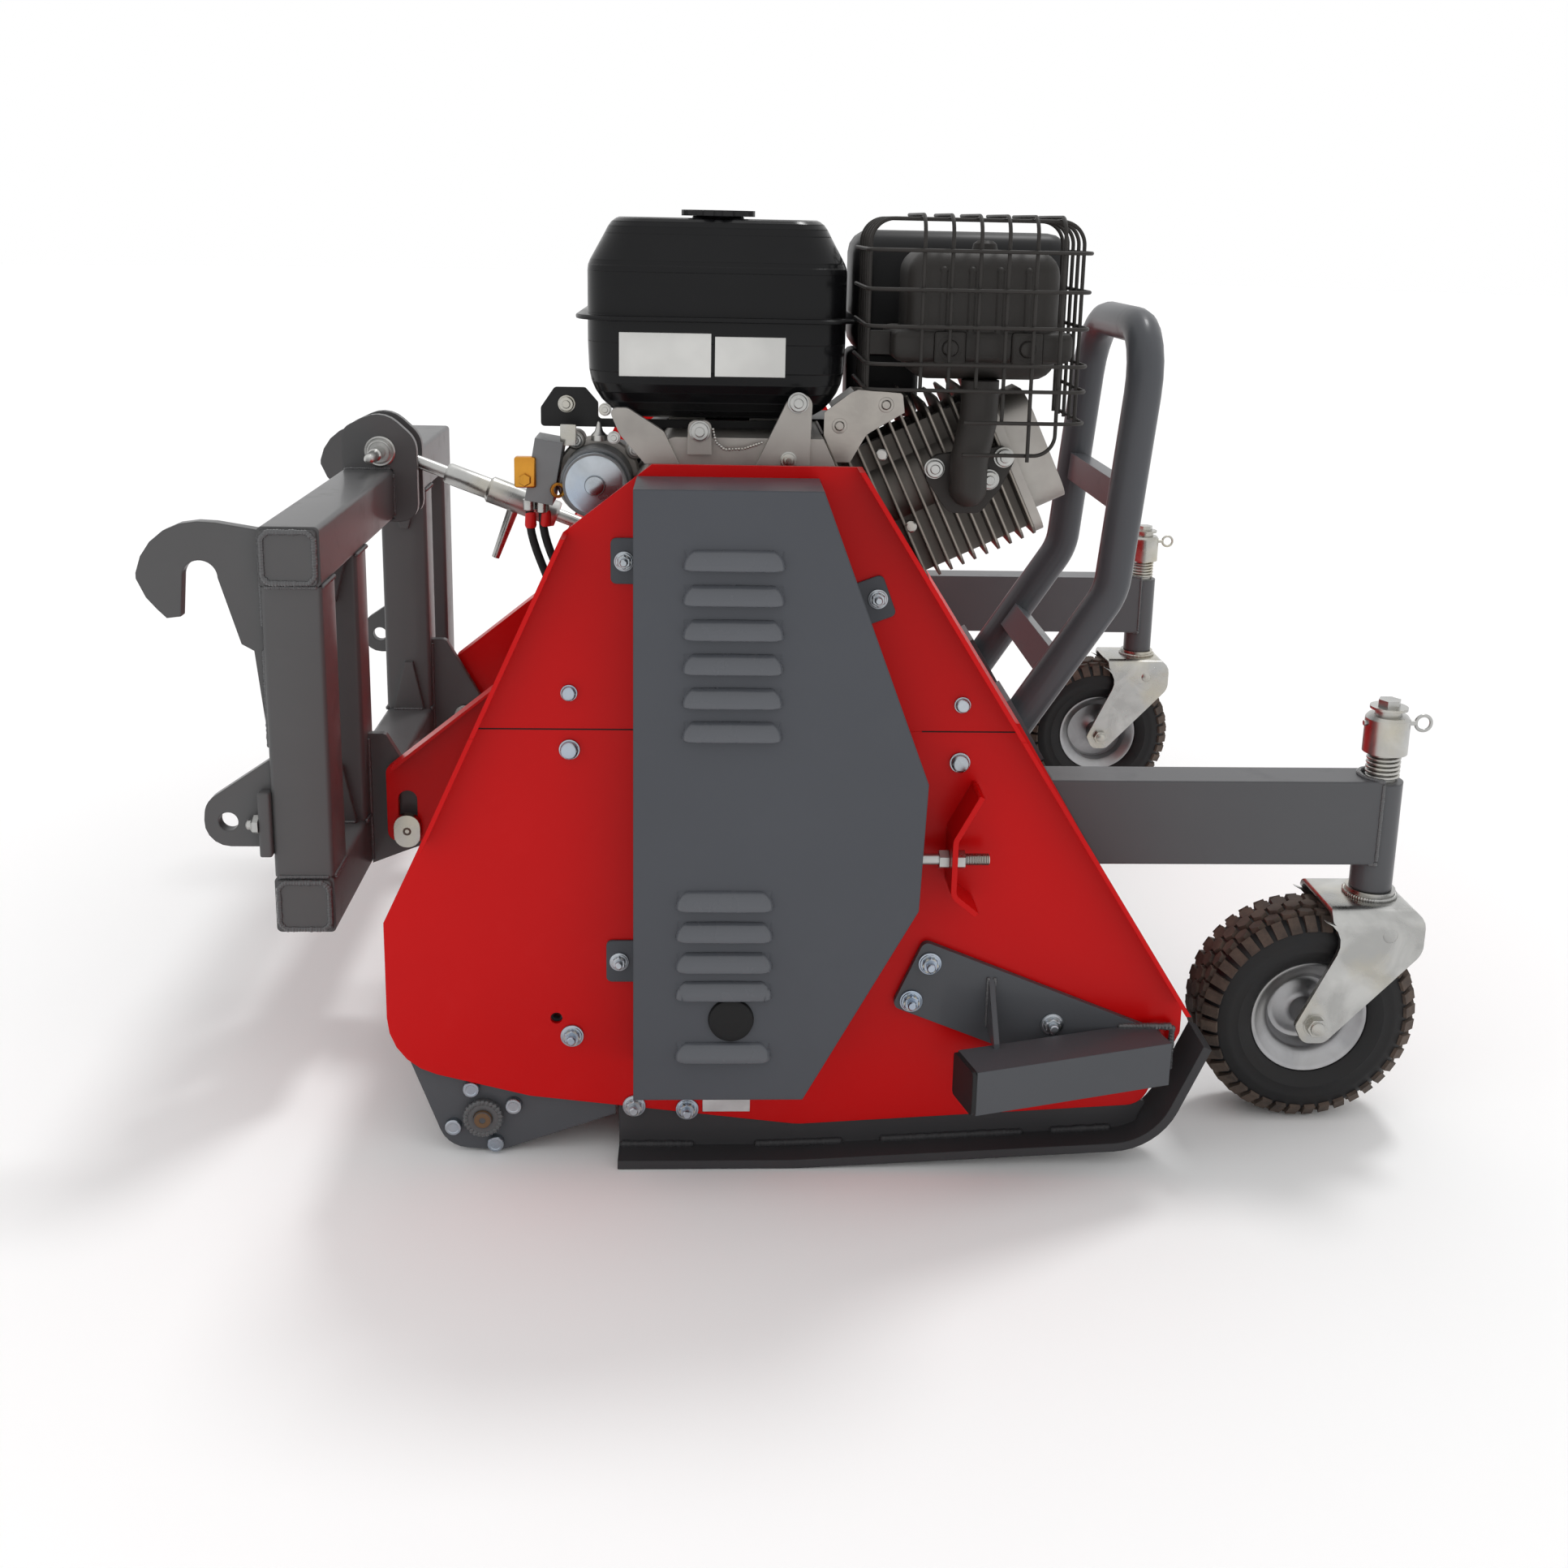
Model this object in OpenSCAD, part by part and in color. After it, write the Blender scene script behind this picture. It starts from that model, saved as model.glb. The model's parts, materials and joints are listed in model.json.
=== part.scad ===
// Front-mounted flail brush mower with its own engine, for a compact loader.
// Millimetres. +X is the way it drives, +Y its left side, +Z up, and the ground is z = 0.
// Inside the modules x counts from the deck datum, which lies rotor_x behind the rotor shaft.

/* [Deck] */
// Width over the two side plates
deck_w = 1297; // [1200:1:1400]
// Thickness of a side plate
plate_t = 5; // [4:0.5:6]
// Thickness of the deck sheet
shell_t = 5; // [4:0.5:6]
// Height of the engine platform
platform_z = 508; // [505:1:512]
// Height of the seam between lower and upper side plates
seam_z = 500; // [480:1:505]
// Height of the top of the side plates
plate_top = 782; // [776:1:800]
// Width of the flanges turned outward on the sloped edges
flange_w = 36; // [20:1:40]
// Length of the rubber flap at the front
flap_l = 110; // [60:1:115]

/* [Rotor] */
// Place of the rotor shaft forward of the deck datum
rotor_x = 88; // [80:1:95]
// Height of the rotor shaft
rotor_z = 210; // [205:1:215]
// Radius of the rotor tube
rotor_r = 48; // [40:1:50]
// Radius from the shaft to the flail bolts
flail_pivot_r = 82; // [80:1:86]
// Length of a flail from its bolt
flail_l = 78; // [60:1:82]
// Flail pairs along one row
flails = 7; // [4:1:9]

/* [Roller and skids] */
// Radius of the rear roller
roller_r = 45; // [40:1:46]
// Place of the roller shaft forward of the deck datum
roller_x = -185; // [-190:1:-180]
// Width of a skid shoe
skid_w = 60; // [40:1:70]
// Thickness of a skid shoe
skid_t = 10; // [8:1:12]

/* [Casters] */
// Distance from the middle of the machine to each caster
caster_y = 541.5; // [500:0.5:560]
// Place of the caster spindle forward of the deck datum
spindle_x = 838; // [780:1:860]
// How far the wheel trails behind its spindle
trail = 71; // [60:1:76]
// Outer diameter of a tyre
tyre_d = 260; // [250:1:262]
// Width of a tyre
tyre_w = 85; // [70:1:88]
// Radius of a spindle
spindle_r = 15; // [12:0.5:16]
// Height of a caster arm's tube
arm_h = 100; // [80:1:110]
// Height of a caster arm's middle above the ground
arm_z = 367; // [360:1:372]

/* [Hitch] */
// Size of the square hitch tubes
tube = 70; // [60:1:76]
// Wall of the square tubes
tube_wall = 5; // [3:0.5:6]
// Length of the cross tubes
hitch_w = 930; // [900:1:1000]
// Middle of the hitch tubes along the machine
hitch_x = -416; // [-422:1:-410]
// Middle height of the top tube
hitch_top = 643; // [630:1:650]
// Middle height of the bottom tube
hitch_low = 220.5; // [215:0.5:226]
// Distance from the middle to each inner upright
inner_y = 250; // [230:1:270]
// Distance from the middle to each hook
hook_y = 447.5; // [430:0.5:455]
// Radius of the hook throats
hook_r = 20; // [15:0.5:22]
// Radius of the lower locking holes
lock_r = 11.5; // [8:0.5:13]
// Radius of the pins between hitch frame and deck
pin_r = 12; // [10:0.5:13]
// Travel of those pins in the slots of the deck lugs
float_up = 40; // [20:1:42]

/* [Drive] */
// Place of the crankshaft forward of the deck datum
crank_x = 100; // [96:1:104]
// Height of the crankshaft
crank_z = 665; // [660:1:670]
// Outer radius of the engine pulley
crank_pulley_r = 50; // [44:1:54]
// Outer radius of the rotor pulley
rotor_pulley_r = 70; // [64:1:74]
// Thickness of a belt
belt_t = 9; // [7:0.5:10]
// Width of a belt
belt_w = 13; // [11:0.5:14]
// Distance between the two belts
belt_pitch = 17; // [16:0.5:19]
// Depth of the belt guard
guard_d = 84; // [80:1:90]
// Wall of the belt guard
guard_t = 3; // [2:0.5:4]
// Height of the belt guard's top
guard_top = 770; // [760:1:775]

/* [Engine] */
// Tilt of the cylinder above the horizontal
cyl_tilt = 25; // [22:1:27]
// Distance from the deck's side to the engine's power take-off face
engine_in = 53; // [50:1:60]
// Width of the fuel tank along the machine
tank_w = 272; // [260:1:290]
// Depth of the fuel tank across the machine
tank_d = 290; // [260:1:300]
// Height of the tank's seam
tank_seam = 925; // [920:1:935]
// Height of the tank's top
tank_top = 1027; // [1015:1:1035]
// Height of the tank's bottom
tank_low = 819; // [815:1:825]
// Pitch of the cylinder's fins
fin_pitch = 14; // [12:1:16]
// Thickness of a fin
fin_t = 3; // [2:0.5:4]
// Diameter of the cage's wires
wire_d = 4; // [3:0.5:5]

/* [Bars] */
// Outer diameter of the bull bar's tube
bar_d = 42.4; // [38:0.1:48]
// Distance from the deck's side to the bull bar's first leg
bar_in = 198.5; // [150:0.5:220]
// Distance between the bull bar's legs
bar_w = 280; // [240:1:320]
// Height of the bull bar's top
bar_high = 915; // [880:1:930]
// Width of the deflector arm's square tube
stub = 50; // [40:1:54]

/* [Hidden] */
$fn = 48;
flail_rows = 3;
gap = 0.3;          // between pieces that move past each other
seat = 0.1;         // between pieces that are welded or bolted together
fit = 0.08;         // round a shaft in its hole
red = [0.74, 0.06, 0.07];
slate = [0.34, 0.36, 0.40];
zinc = [0.75, 0.76, 0.76];
black = [0.06, 0.06, 0.07];
alloy = [0.62, 0.61, 0.58];

half = deck_w / 2;
side_in = half - plate_t;
rear_low = [-243.6, 372];
rear_high = [-90, 710];
front_low = [592, 187];
front_high = [front_low.x - (plate_top - front_low.y) * 0.632, plate_top];
deck_path = [[-262, 138], [-276, 180], [-276, 285], [-176, platform_z - shell_t / 2],
    [392, platform_z - shell_t / 2], [560, 225], [560, 196]];
deck_out = offset_path(deck_path, shell_t / 2 + seat);
flap_x = deck_path[6].x - shell_t / 2 - 4 - seat;
pto_y = half - engine_in;
cyl_y = pto_y - 90;
fin_w = 130;
bore_d = 62;
belt_y = half + 42;
hub_y = belt_y + belt_pitch / 2 + belt_w / 2 + 4;
hub_w = belt_pitch + belt_w + 8;
crank = [crank_x, crank_z];
rotor_at = [rotor_x, rotor_z];
idler_r = 30;
idler_at = [rotor_x + rotor_pulley_r - 1 + gap + idler_r + 6.4, 400];
arm_pivot = [idler_at.x + 38, 474];
tension_z = 366;
tension_y = half + 26;
lug_y = inner_y + 10;
lug_t = 10;
pin_at = [-330, 240];
ear_at = [-398, 703];
link_at = [-98, 590];
ear_y = 22;
link_dir = unit([link_at.x - ear_at.x, link_at.y - ear_at.y]);
link_l = norm([link_at.x - ear_at.x, link_at.y - ear_at.y]);
link_tilt = atan2(link_dir.y, link_dir.x);
axle_x = spindle_x - trail;
axle_z = tyre_d / 2;
axle_r = 8;
rim_r = 60;
leg_in = tyre_w / 2 + 7;
leg_t = 6;
fork_top = 272;
collar_z = 446;
bar_out = half - bar_in;
guard_face = [[-14, 117], [165, 117], [281, 332], [286, 470], [172, guard_top], [-14, guard_top]];
tank_mid = [66, -pto_y + tank_d / 2];
hook_tip = -592;
stub_from = [534, -half - 8 - stub * 0.44];
stub_to = [340, -half - 84];
stub_z = 136;
stub_dir = unit(stub_to - stub_from);
cap_t = 5;
right_end = stub_to.y + stub_dir.y * (cap_t + seat) + stub_dir.x * stub / 2;
datum_x = -(hook_tip + axle_x + tyre_d / 2) / 2;
datum_y = -(right_end + half + flange_w) / 2;

// ---- lists of points ----
function unit(v) = v / norm(v);
function perp(v) = [-v.y, v.x];
function xy(p) = [p.x, p.y];
function at_height(a, b, z) = [a.x + (z - a.y) * (b.x - a.x) / (b.y - a.y), z];

// Rounds each corner [x, y, radius] of an outline or path with n steps
function rounded(p, n = 5) = [for (i = [0 : len(p) - 1])
    let (c = xy(p[i]), r = p[i][2],
        u = unit(xy(p[(i + len(p) - 1) % len(p)]) - c), v = unit(xy(p[(i + 1) % len(p)]) - c),
        a = acos(max(-1, min(1, u * v))) / 2, m = c + unit(u + v) * r / sin(a),
        s = c + u * r / tan(a) - m, e = c + v * r / tan(a) - m,
        a0 = atan2(s.y, s.x), da = (atan2(e.y, e.x) - a0 + 540) % 360 - 180)
    each r == 0 ? [c] : [for (k = [0 : n]) m + r * [cos(a0 + da * k / n), sin(a0 + da * k / n)]]];

// Moves an open path sideways by d, to its left
function offset_path(p, d) = [for (i = [0 : len(p) - 1])
    let (u = unit(p[max(i, 1)] - p[max(i, 1) - 1]),
        v = unit(p[min(i, len(p) - 2) + 1] - p[min(i, len(p) - 2)]),
        m = perp(u) + perp(v))
    p[i] + m * d * 2 / (m * m)];

// The outline of a bent strip of thickness t along a path
function strip(p, t) = concat(offset_path(p, t / 2), reverse(offset_path(p, -t / 2)));
function reverse(p) = [for (i = [len(p) - 1 : -1 : 0]) p[i]];

// Moves a closed outline, listed anticlockwise, inward by d
function inset(p, d) = [for (i = [0 : len(p) - 1])
    let (u = unit(p[i] - p[(i + len(p) - 1) % len(p)]), v = unit(p[(i + 1) % len(p)] - p[i]),
        m = perp(u) + perp(v))
    p[i] + m * d * 2 / (m * m)];

// The outline of a belt run round two wheels, standing off each rim by d
function belt_loop(a, ra, b, rb, d) = let (v = b - a, t = acos((ra - rb) / norm(v)), h = atan2(v.y, v.x))
    concat([for (k = [0 : 16]) a + (ra + d) * dir(h + t + (360 - 2 * t) * k / 16)],
        [for (k = [0 : 16]) b + (rb + d) * dir(h - t + 2 * t * k / 16)]);
function dir(a) = [cos(a), sin(a)];
function box_path(w, d, r) = rounded([for (q = [[-1, -1], [1, -1], [1, 1], [-1, 1]])
    [q.x * w / 2, q.y * d / 2, r]]);

// ---- shared shapes ----
module place() { translate([datum_x, datum_y, 0]) children(); }

// Turns an outline drawn in x and z into a solid between y0 and y1
module along_y(y0, y1) { translate([0, y1, 0]) rotate([90, 0, 0]) linear_extrude(y1 - y0) children(); }

// Turns an outline drawn in y and z into a solid between x0 and x1
module along_x(x0, x1) { translate([x0, 0, 0]) rotate([90, 0, 90]) linear_extrude(x1 - x0) children(); }

module rod_y(r, p, y0, y1) { translate([p.x, y1, p.y]) rotate([90, 0, 0]) cylinder(r = r, h = y1 - y0); }
module rod_x(r, y, z, x0, x1) { translate([x0, y, z]) rotate([0, 90, 0]) cylinder(r = r, h = x1 - x0); }
module both_sides() { children(); mirror([0, 1, 0]) children(); }
module box_at(lo, hi) { translate(lo) cube(hi - lo); }

// A turned piece round an axis along y, its profile drawn as radius and y
module turned_y(p) { translate([p.x, 0, p.y]) rotate([-90, 0, 0]) rotate_extrude() children(); }

// Puts children in a frame with the given origin and x and y directions
module in_frame(o, ex, ey) {
    ez = cross(ex, ey);
    multmatrix([[ex.x, ey.x, ez.x, o.x], [ex.y, ey.y, ez.y, o.y], [ex.z, ey.z, ez.z, o.z], [0, 0, 0, 1]])
        children();
}
module rod_between(a, b, r) {
    d = unit(b - a);
    side = unit(cross(d, abs(d.z) < 0.9 ? [0, 0, 1] : [1, 0, 0]));
    in_frame(a, side, cross(d, side)) cylinder(r = r, h = norm(b - a));
}

// The points of a path in space, each inner corner turned into an arc of radius r
function bends(p, r, n = 6) = concat([p[0]], [for (i = [1 : len(p) - 2])
    let (u = unit(p[i - 1] - p[i]), v = unit(p[i + 1] - p[i]), a = acos(u * v) / 2,
        m = p[i] + unit(u + v) * r / sin(a),
        s = unit(p[i] + u * r / tan(a) - m), e = unit(p[i] + v * r / tan(a) - m),
        turn = acos(s * e), side = unit(e - s * (s * e)))
    each [for (k = [0 : n]) m + r * (s * cos(turn * k / n) + side * sin(turn * k / n))]], [p[len(p) - 1]]);

// A round bar along a list of points, or a tube where bore is above 0. The side vector crosses every
// stretch of a path that stays in one plane; up gives the first stretch's.
module sweep(p, r, bore = 0, sides = 16) {
    last = len(p) - 1;
    way = [for (i = [0 : last]) unit(p[min(i + 1, last)] - p[max(i - 1, 0)])];
    first = unit(cross(way[0], abs(way[0].y) < 0.7 ? [0, 1, 0] : [1, 0, 0]));
    across = carry(way, [first]);
    ring = function (i, q) [for (k = [0 : sides - 1])
        p[i] + q * (across[i] * cos(360 * k / sides) + cross(way[i], across[i]) * sin(360 * k / sides))];
    walls = bore > 0 ? [r, bore] : [r];
    pts = [for (q = walls, i = [0 : last]) each ring(i, q)];
    step = (last + 1) * sides;
    skin = [for (w = [0 : len(walls) - 1], i = [0 : last - 1], k = [0 : sides - 1])
        let (a = w * step + i * sides + k, b = w * step + i * sides + (k + 1) % sides,
            f = [b, a, a + sides, b + sides]) w == 0 ? f : reverse(f)];
    caps = bore > 0
        ? [for (e = [0, last], k = [0 : sides - 1])
            let (a = e * sides + k, b = e * sides + (k + 1) % sides, f = [a, b, b + step, a + step])
            e == 0 ? f : reverse(f)]
        : [[for (k = [0 : sides - 1]) k], [for (k = [sides - 1 : -1 : 0]) last * sides + k]];
    polyhedron(pts, concat(skin, caps));
}
function carry(way, list) = len(list) == len(way) ? list
    : let (w = way[len(list)], s = list[len(list) - 1]) carry(way, concat(list, [unit(s - w * (s * w))]));

// The same for thin wire whose stretches run along the axes, with exact bends
module bent_wire(p, r, bend) {
    last = len(p) - 1;
    for (i = [0 : last - 1]) {
        u = unit(p[i + 1] - p[i]);
        rod_between(p[i] + u * (i == 0 ? 0 : bend), p[i + 1] - u * (i == last - 1 ? 0 : bend), r);
    }
    for (i = [1 : last - 1]) {
        u = unit(p[i] - p[i - 1]);
        v = unit(p[i + 1] - p[i]);
        in_frame(p[i] - u * bend + v * bend, -v, u)
            rotate_extrude(angle = 90) translate([bend, 0]) circle(r);
    }
}

// A hexagon bolt along -y: washer and head outside y_out, shank inward, nut behind
module bolt_y(p, y_out, d, shank, grip = 0) {
    translate([p.x, y_out, p.y]) rotate([90, 0, 0]) {
        difference() {
            cylinder(r = d * 1.05, h = d * 0.2);
            translate([0, 0, -1]) cylinder(r = d / 2, h = d);
        }
        translate([0, 0, d * 0.2]) cylinder(r = d * 0.9, h = d * 0.6, $fn = 6);
        translate([0, 0, -shank]) cylinder(r = d / 2, h = shank + d * 0.3);
        if (grip > 0)
            translate([0, 0, -grip - d * 0.8]) cylinder(r = d * 0.9, h = d * 0.8 - seat, $fn = 6);
    }
}
module hole_y(p, r, y0, y1) { rod_y(r, p, y0 - 1, y1 + 1); }

// ---- deck ----
low_plate = rounded([[rear_low.x, rear_low.y, 0], [-286.5, 280, 0], [-286.5, 114, 70], [-132, 74, 40],
    [165, 38, 90], [front_low.x - 39, 61, 26], [front_low.x, 150, 12], [front_low.x, front_low.y, 0],
    each [for (q = [at_height(front_low, front_high, seam_z), at_height(rear_low, rear_high, seam_z)])
        [q.x, q.y, 0]]]);
high_plate = [at_height(rear_low, rear_high, seam_z + seat), at_height(front_low, front_high, seam_z + seat),
    front_high, [1, plate_top], rear_high];
plate_bolts = [[-85, 478], [-85, 540], [330, 466], [330, 530]];
web_bolts = [[-17, 62], [42, 58]];
stay_bolt = [-85, 147.5];
stay_hole = [-102, 168];
arm_bolts = [[306, 237.5], [287, 193], [445, 165]];
guard_bolts = [[-27, 682], [236, 645], [-33, 237]];

// The flange on a sloped edge from a to b, turned outward, its thickness inside the edge
module slope_flange(a, b) {
    n = perp(unit(b - a)) * plate_t;
    along_y(-half - flange_w, -half + plate_t)
        polygon([a, b, at_height(a + n, b + n, b.y), at_height(a + n, b + n, a.y)]);
}
module lower_plate() {
    difference() {
        union() {
            along_y(-half, -side_in) polygon(low_plate);
            slope_flange(at_height(rear_low, rear_high, seam_z), rear_low);
            slope_flange(front_low, at_height(front_low, front_high, seam_z));
        }
        hole_y(rotor_at, 34, -half, -side_in);
        for (p = concat(web_bolts, arm_bolts)) hole_y(p, 5 + seat, -half, -side_in);
        for (p = [plate_bolts[0], plate_bolts[2], stay_bolt]) hole_y(p, 5 + seat, -half, -side_in);
        hole_y(stay_hole, 6.5, -half, -side_in);
    }
}
module upper_plate() {
    difference() {
        union() {
            along_y(-half, -side_in) polygon(high_plate);
            slope_flange(rear_high, high_plate[0]);
            slope_flange(high_plate[1], high_plate[2]);
        }
        for (p = [plate_bolts[1], plate_bolts[3]]) hole_y(p, 4 + seat, -half, -side_in);
    }
}
module drill_guard_bolts() {
    difference() {
        children();
        for (p = guard_bolts) hole_y(p, 4 + seat, -half - 4, -side_in);
    }
}
module side_plate_right() { color(red) drill_guard_bolts() lower_plate(); }
module side_plate_left() { color(red) mirror([0, 1, 0]) lower_plate(); }
module upper_plate_right() {
    color(red) difference() {
        drill_guard_bolts() upper_plate();
        hole_y(crank, 60, -half, -side_in);
    }
}
module upper_plate_left() { color(red) mirror([0, 1, 0]) upper_plate(); }

module deck_shell() {
    color(red) {
        along_y(-side_in + seat, side_in - seat) polygon(strip(deck_path, shell_t));
        both_sides() for (x = [-120, 60, 240])
            box_at([x, -side_in + 40, platform_z - shell_t - 30], [x + 6, -60, platform_z - shell_t]);
    }
}
module front_flap() {
    color(black) translate([flap_x, -side_in + 4, deck_path[6].y - flap_l])
        difference() {
            cube([4, 2 * side_in - 8, flap_l + 24]);
            for (k = [1 : 11]) translate([-1, k * (2 * side_in - 8) / 12, -1]) cube([6, 1.5, flap_l - 10]);
        }
}

// The two welded lugs with their slots, and a stiffening lip along the sloped top edge
module deck_lugs() {
    wall_low = [deck_out[2].x, 222];
    wall_high = at_height(deck_out[2], deck_out[3], 442);
    tip = [-357, 322];
    slope = unit(wall_high - tip);
    lip = 24;
    color(red) both_sides() difference() {
        union() {
            along_y(-lug_y - lug_t / 2, -lug_y + lug_t / 2)
                polygon(rounded([[tip.x, 222, 14], [wall_low.x, wall_low.y, 0],
                    [deck_out[2].x, deck_out[2].y, 0],
                    [wall_high.x, wall_high.y, 0], [tip.x, tip.y, 12]]));
            along_y(-lug_y - lug_t / 2 - lip, -lug_y)
                polygon([tip + slope * 14, wall_high, at_height(deck_out[2], deck_out[3], wall_high.y - 6),
                    tip + slope * 14 + [0, -6]]);
        }
        rod_y(pin_r + gap, pin_at, -lug_y - 9, -lug_y + 9);
        rod_y(pin_r + gap, pin_at + [0, float_up], -lug_y - 9, -lug_y + 9);
        box_at([pin_at.x - pin_r - gap, -lug_y - 9, pin_at.y],
            [pin_at.x + pin_r + gap, -lug_y + 9, pin_at.y + float_up]);
    }
}
module deck_bolts() {
    color(zinc) {
        both_sides() {
            for (p = [plate_bolts[0], plate_bolts[2]]) bolt_y(p, -half - seat, 10, 14, 5.3);
            for (p = [plate_bolts[1], plate_bolts[3]]) bolt_y(p, -half - seat, 8, 14, 5.3);
            bolt_y(stay_bolt, -half - seat, 10, 32, 18.8);
            for (p = web_bolts) bolt_y(p, -half - seat, 10, 24, 15.3);
        }
        for (p = arm_bolts) bolt_y(p, -half - 8 - 2 * seat, 10, 28, 13.5);
        for (p = guard_bolts) bolt_y(p, -half - guard_t - 2 * seat, 8, 16, guard_t + 5.4);
        tension_nuts();
        idler_pivot();
    }
}
module tension_strap() {
    path = rounded([[348, 312, 0], [322, 333, 12], [322, 395, 12], [348, 444, 0]]);
    color(red) difference() {
        along_y(-half - 50, -half - seat) polygon(strip(path, 6));
        rod_x(6 + fit, -tension_y, tension_z, 300, 340);
    }
}
module tension_bolt() {
    color(zinc) rod_x(6, -tension_y, tension_z, arm_pivot.x + 12 + gap, 362);
}
module tension_nuts() {
    for (x = [325 + seat, 308 - seat])
        translate([x, -tension_y, tension_z]) rotate([0, 90, 0]) difference() {
            cylinder(r = 10.4, h = 10.5, $fn = 6);
            translate([0, 0, -1]) cylinder(r = 6 + fit, h = 13);
        }
}

// ---- belt guard ----
louvre_w = 98;
louvre_h = 18;
louvre_out = 8;
module louvre_hood(grow) {
    inside = -half - guard_d + (grow < 0 ? guard_t + 1 : guard_t / 2);
    profile = [for (k = [0 : 6])
        [-half - guard_d - (louvre_out + grow) * sin(15 * k),
            louvre_h / 2 + grow - (louvre_h + grow) * k / 6]];
    intersection() {
        along_x(-louvre_w / 2 - grow, louvre_w / 2 + grow)
            polygon(concat([[inside, louvre_h / 2 + grow]], profile, [[inside, -louvre_h / 2]]));
        translate([0, 0, -50]) linear_extrude(100)
            polygon([[-louvre_w / 2 - grow, inside + 1], [-louvre_w / 2 - grow, -half - guard_d],
                [-louvre_w / 2 - grow + 9, -half - guard_d - 12],
                [louvre_w / 2 + grow - 9, -half - guard_d - 12],
                [louvre_w / 2 + grow, -half - guard_d], [louvre_w / 2 + grow, inside + 1]]);
    }
}
louvres = concat([for (k = [0 : 5]) [85, 702 - 35 * k]],
    [for (k = [0 : 3]) [80, 345 - 34 * k]], [[80, 175]]);
module belt_guard() {
    inner = inset(guard_face, guard_t);
    color(slate) difference() {
        union() {
            difference() {
                along_y(-half - guard_d, -half - seat) polygon(guard_face);
                along_y(-half - guard_d + guard_t, -half + 1) polygon(inner);
            }
            for (p = [guard_bolts[0], guard_bolts[2]])
                along_y(-half - seat - guard_t, -half - seat)
                    polygon(rounded([[p.x - 14, p.y - 24, 6], [guard_face[0].x + 1, p.y - 24, 0],
                        [guard_face[0].x + 1, p.y + 24, 0], [p.x - 14, p.y + 24, 6]]));
            along_y(-half - seat - guard_t, -half - seat) translate(guard_bolts[1]) rotate(20.8)
                polygon(rounded([[-30, -23, 0], [13, -23, 6], [13, 23, 6], [-30, 23, 0]]));
            for (p = louvres) translate([p.x, 0, p.y]) louvre_hood(0);
        }
        for (p = louvres) translate([p.x, 0, p.y]) louvre_hood(-2);
        for (p = guard_bolts) hole_y(p, 4 + seat, -half - guard_t - 1, -half);
        hole_y(rotor_at, 22, -half - guard_d, -half - guard_d + guard_t);
        rod_x(8, -tension_y, tension_z, 270, 295);
        along_y(-half - seat - guard_t - 1, -half) polygon(inset(guard_face, guard_t + 0.01));
    }
}
module guard_plug() {
    face = -half - guard_d;
    color(black) turned_y(rotor_at)
        polygon([[0, face + 8], [21.6, face + 8], [21.6, face - seat], [24, face - seat], [23, face - 4],
            [18, face - 6], [0, face - 7]]);
}

// ---- skids, deflector and bull bar ----
skid_path = rounded([[-34, skid_t / 2, 0], [160, skid_t / 2, 200], [565, 26, 75], [616, 145, 0]], 8);
module skid() {
    color(slate) {
        along_y(-half - 28, -half - 28 + skid_w) polygon(strip(skid_path, skid_t));
        along_y(-side_in + seat, -side_in + 10)
            polygon([[-34, skid_t - 0.5], [160, skid_t - 0.5], [545, 27], [560, 60], [520, 86], [-34, 78]]);
    }
}
module drilled_skid() {
    difference() {
        skid();
        for (p = web_bolts) hole_y(p, 5 + seat, -side_in, -side_in + 10);
    }
}
module skid_right() { drilled_skid(); }
module skid_left() { mirror([0, 1, 0]) drilled_skid(); }

module stub_frame() {
    translate([stub_to.x, stub_to.y, stub_z]) rotate([0, 0, atan2(stub_dir.y, stub_dir.x)]) children();
}
module deflector_arm() {
    reach = norm(stub_to - stub_from);
    face = -half - seat - 8;
    color(slate) difference() {
        union() {
            along_y(face, -half - seat)
                polygon(rounded([[299, 263, 8], [266, 186, 8], [500, 92, 0], [546, 90, 10], [573, 152, 8]]));
            intersection() {
                stub_frame() difference() {
                    translate([-reach - 30, -stub / 2, -stub / 2]) cube([reach + 30, stub, stub]);
                    translate([-reach - 31, -stub / 2 + 4, -stub / 2 + 4])
                        cube([reach + 40, stub - 8, stub - 8]);
                }
                box_at([200, face - 200, 0], [580, face + 1, 300]);
            }
            along_x(372, 378) polygon([[face + 1, 222], [face + 1, stub_z + stub / 2 - 1],
                [face - 50, stub_z + stub / 2 - 1], [face - 50, stub_z + stub / 2 + 6]]);
        }
        for (p = arm_bolts) hole_y(p, 5 + seat, face - 1, -half);
    }
}
module arm_cap() {
    color(black) stub_frame() {
        translate([seat, 0, 0]) rotate([90, 0, 90]) linear_extrude(cap_t) polygon(box_path(stub, stub, 5));
        translate([-20, 0, 0]) rotate([90, 0, 90])
            linear_extrude(21) polygon(box_path(stub - 8.4, stub - 8.4, 3));
    }
}

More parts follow.
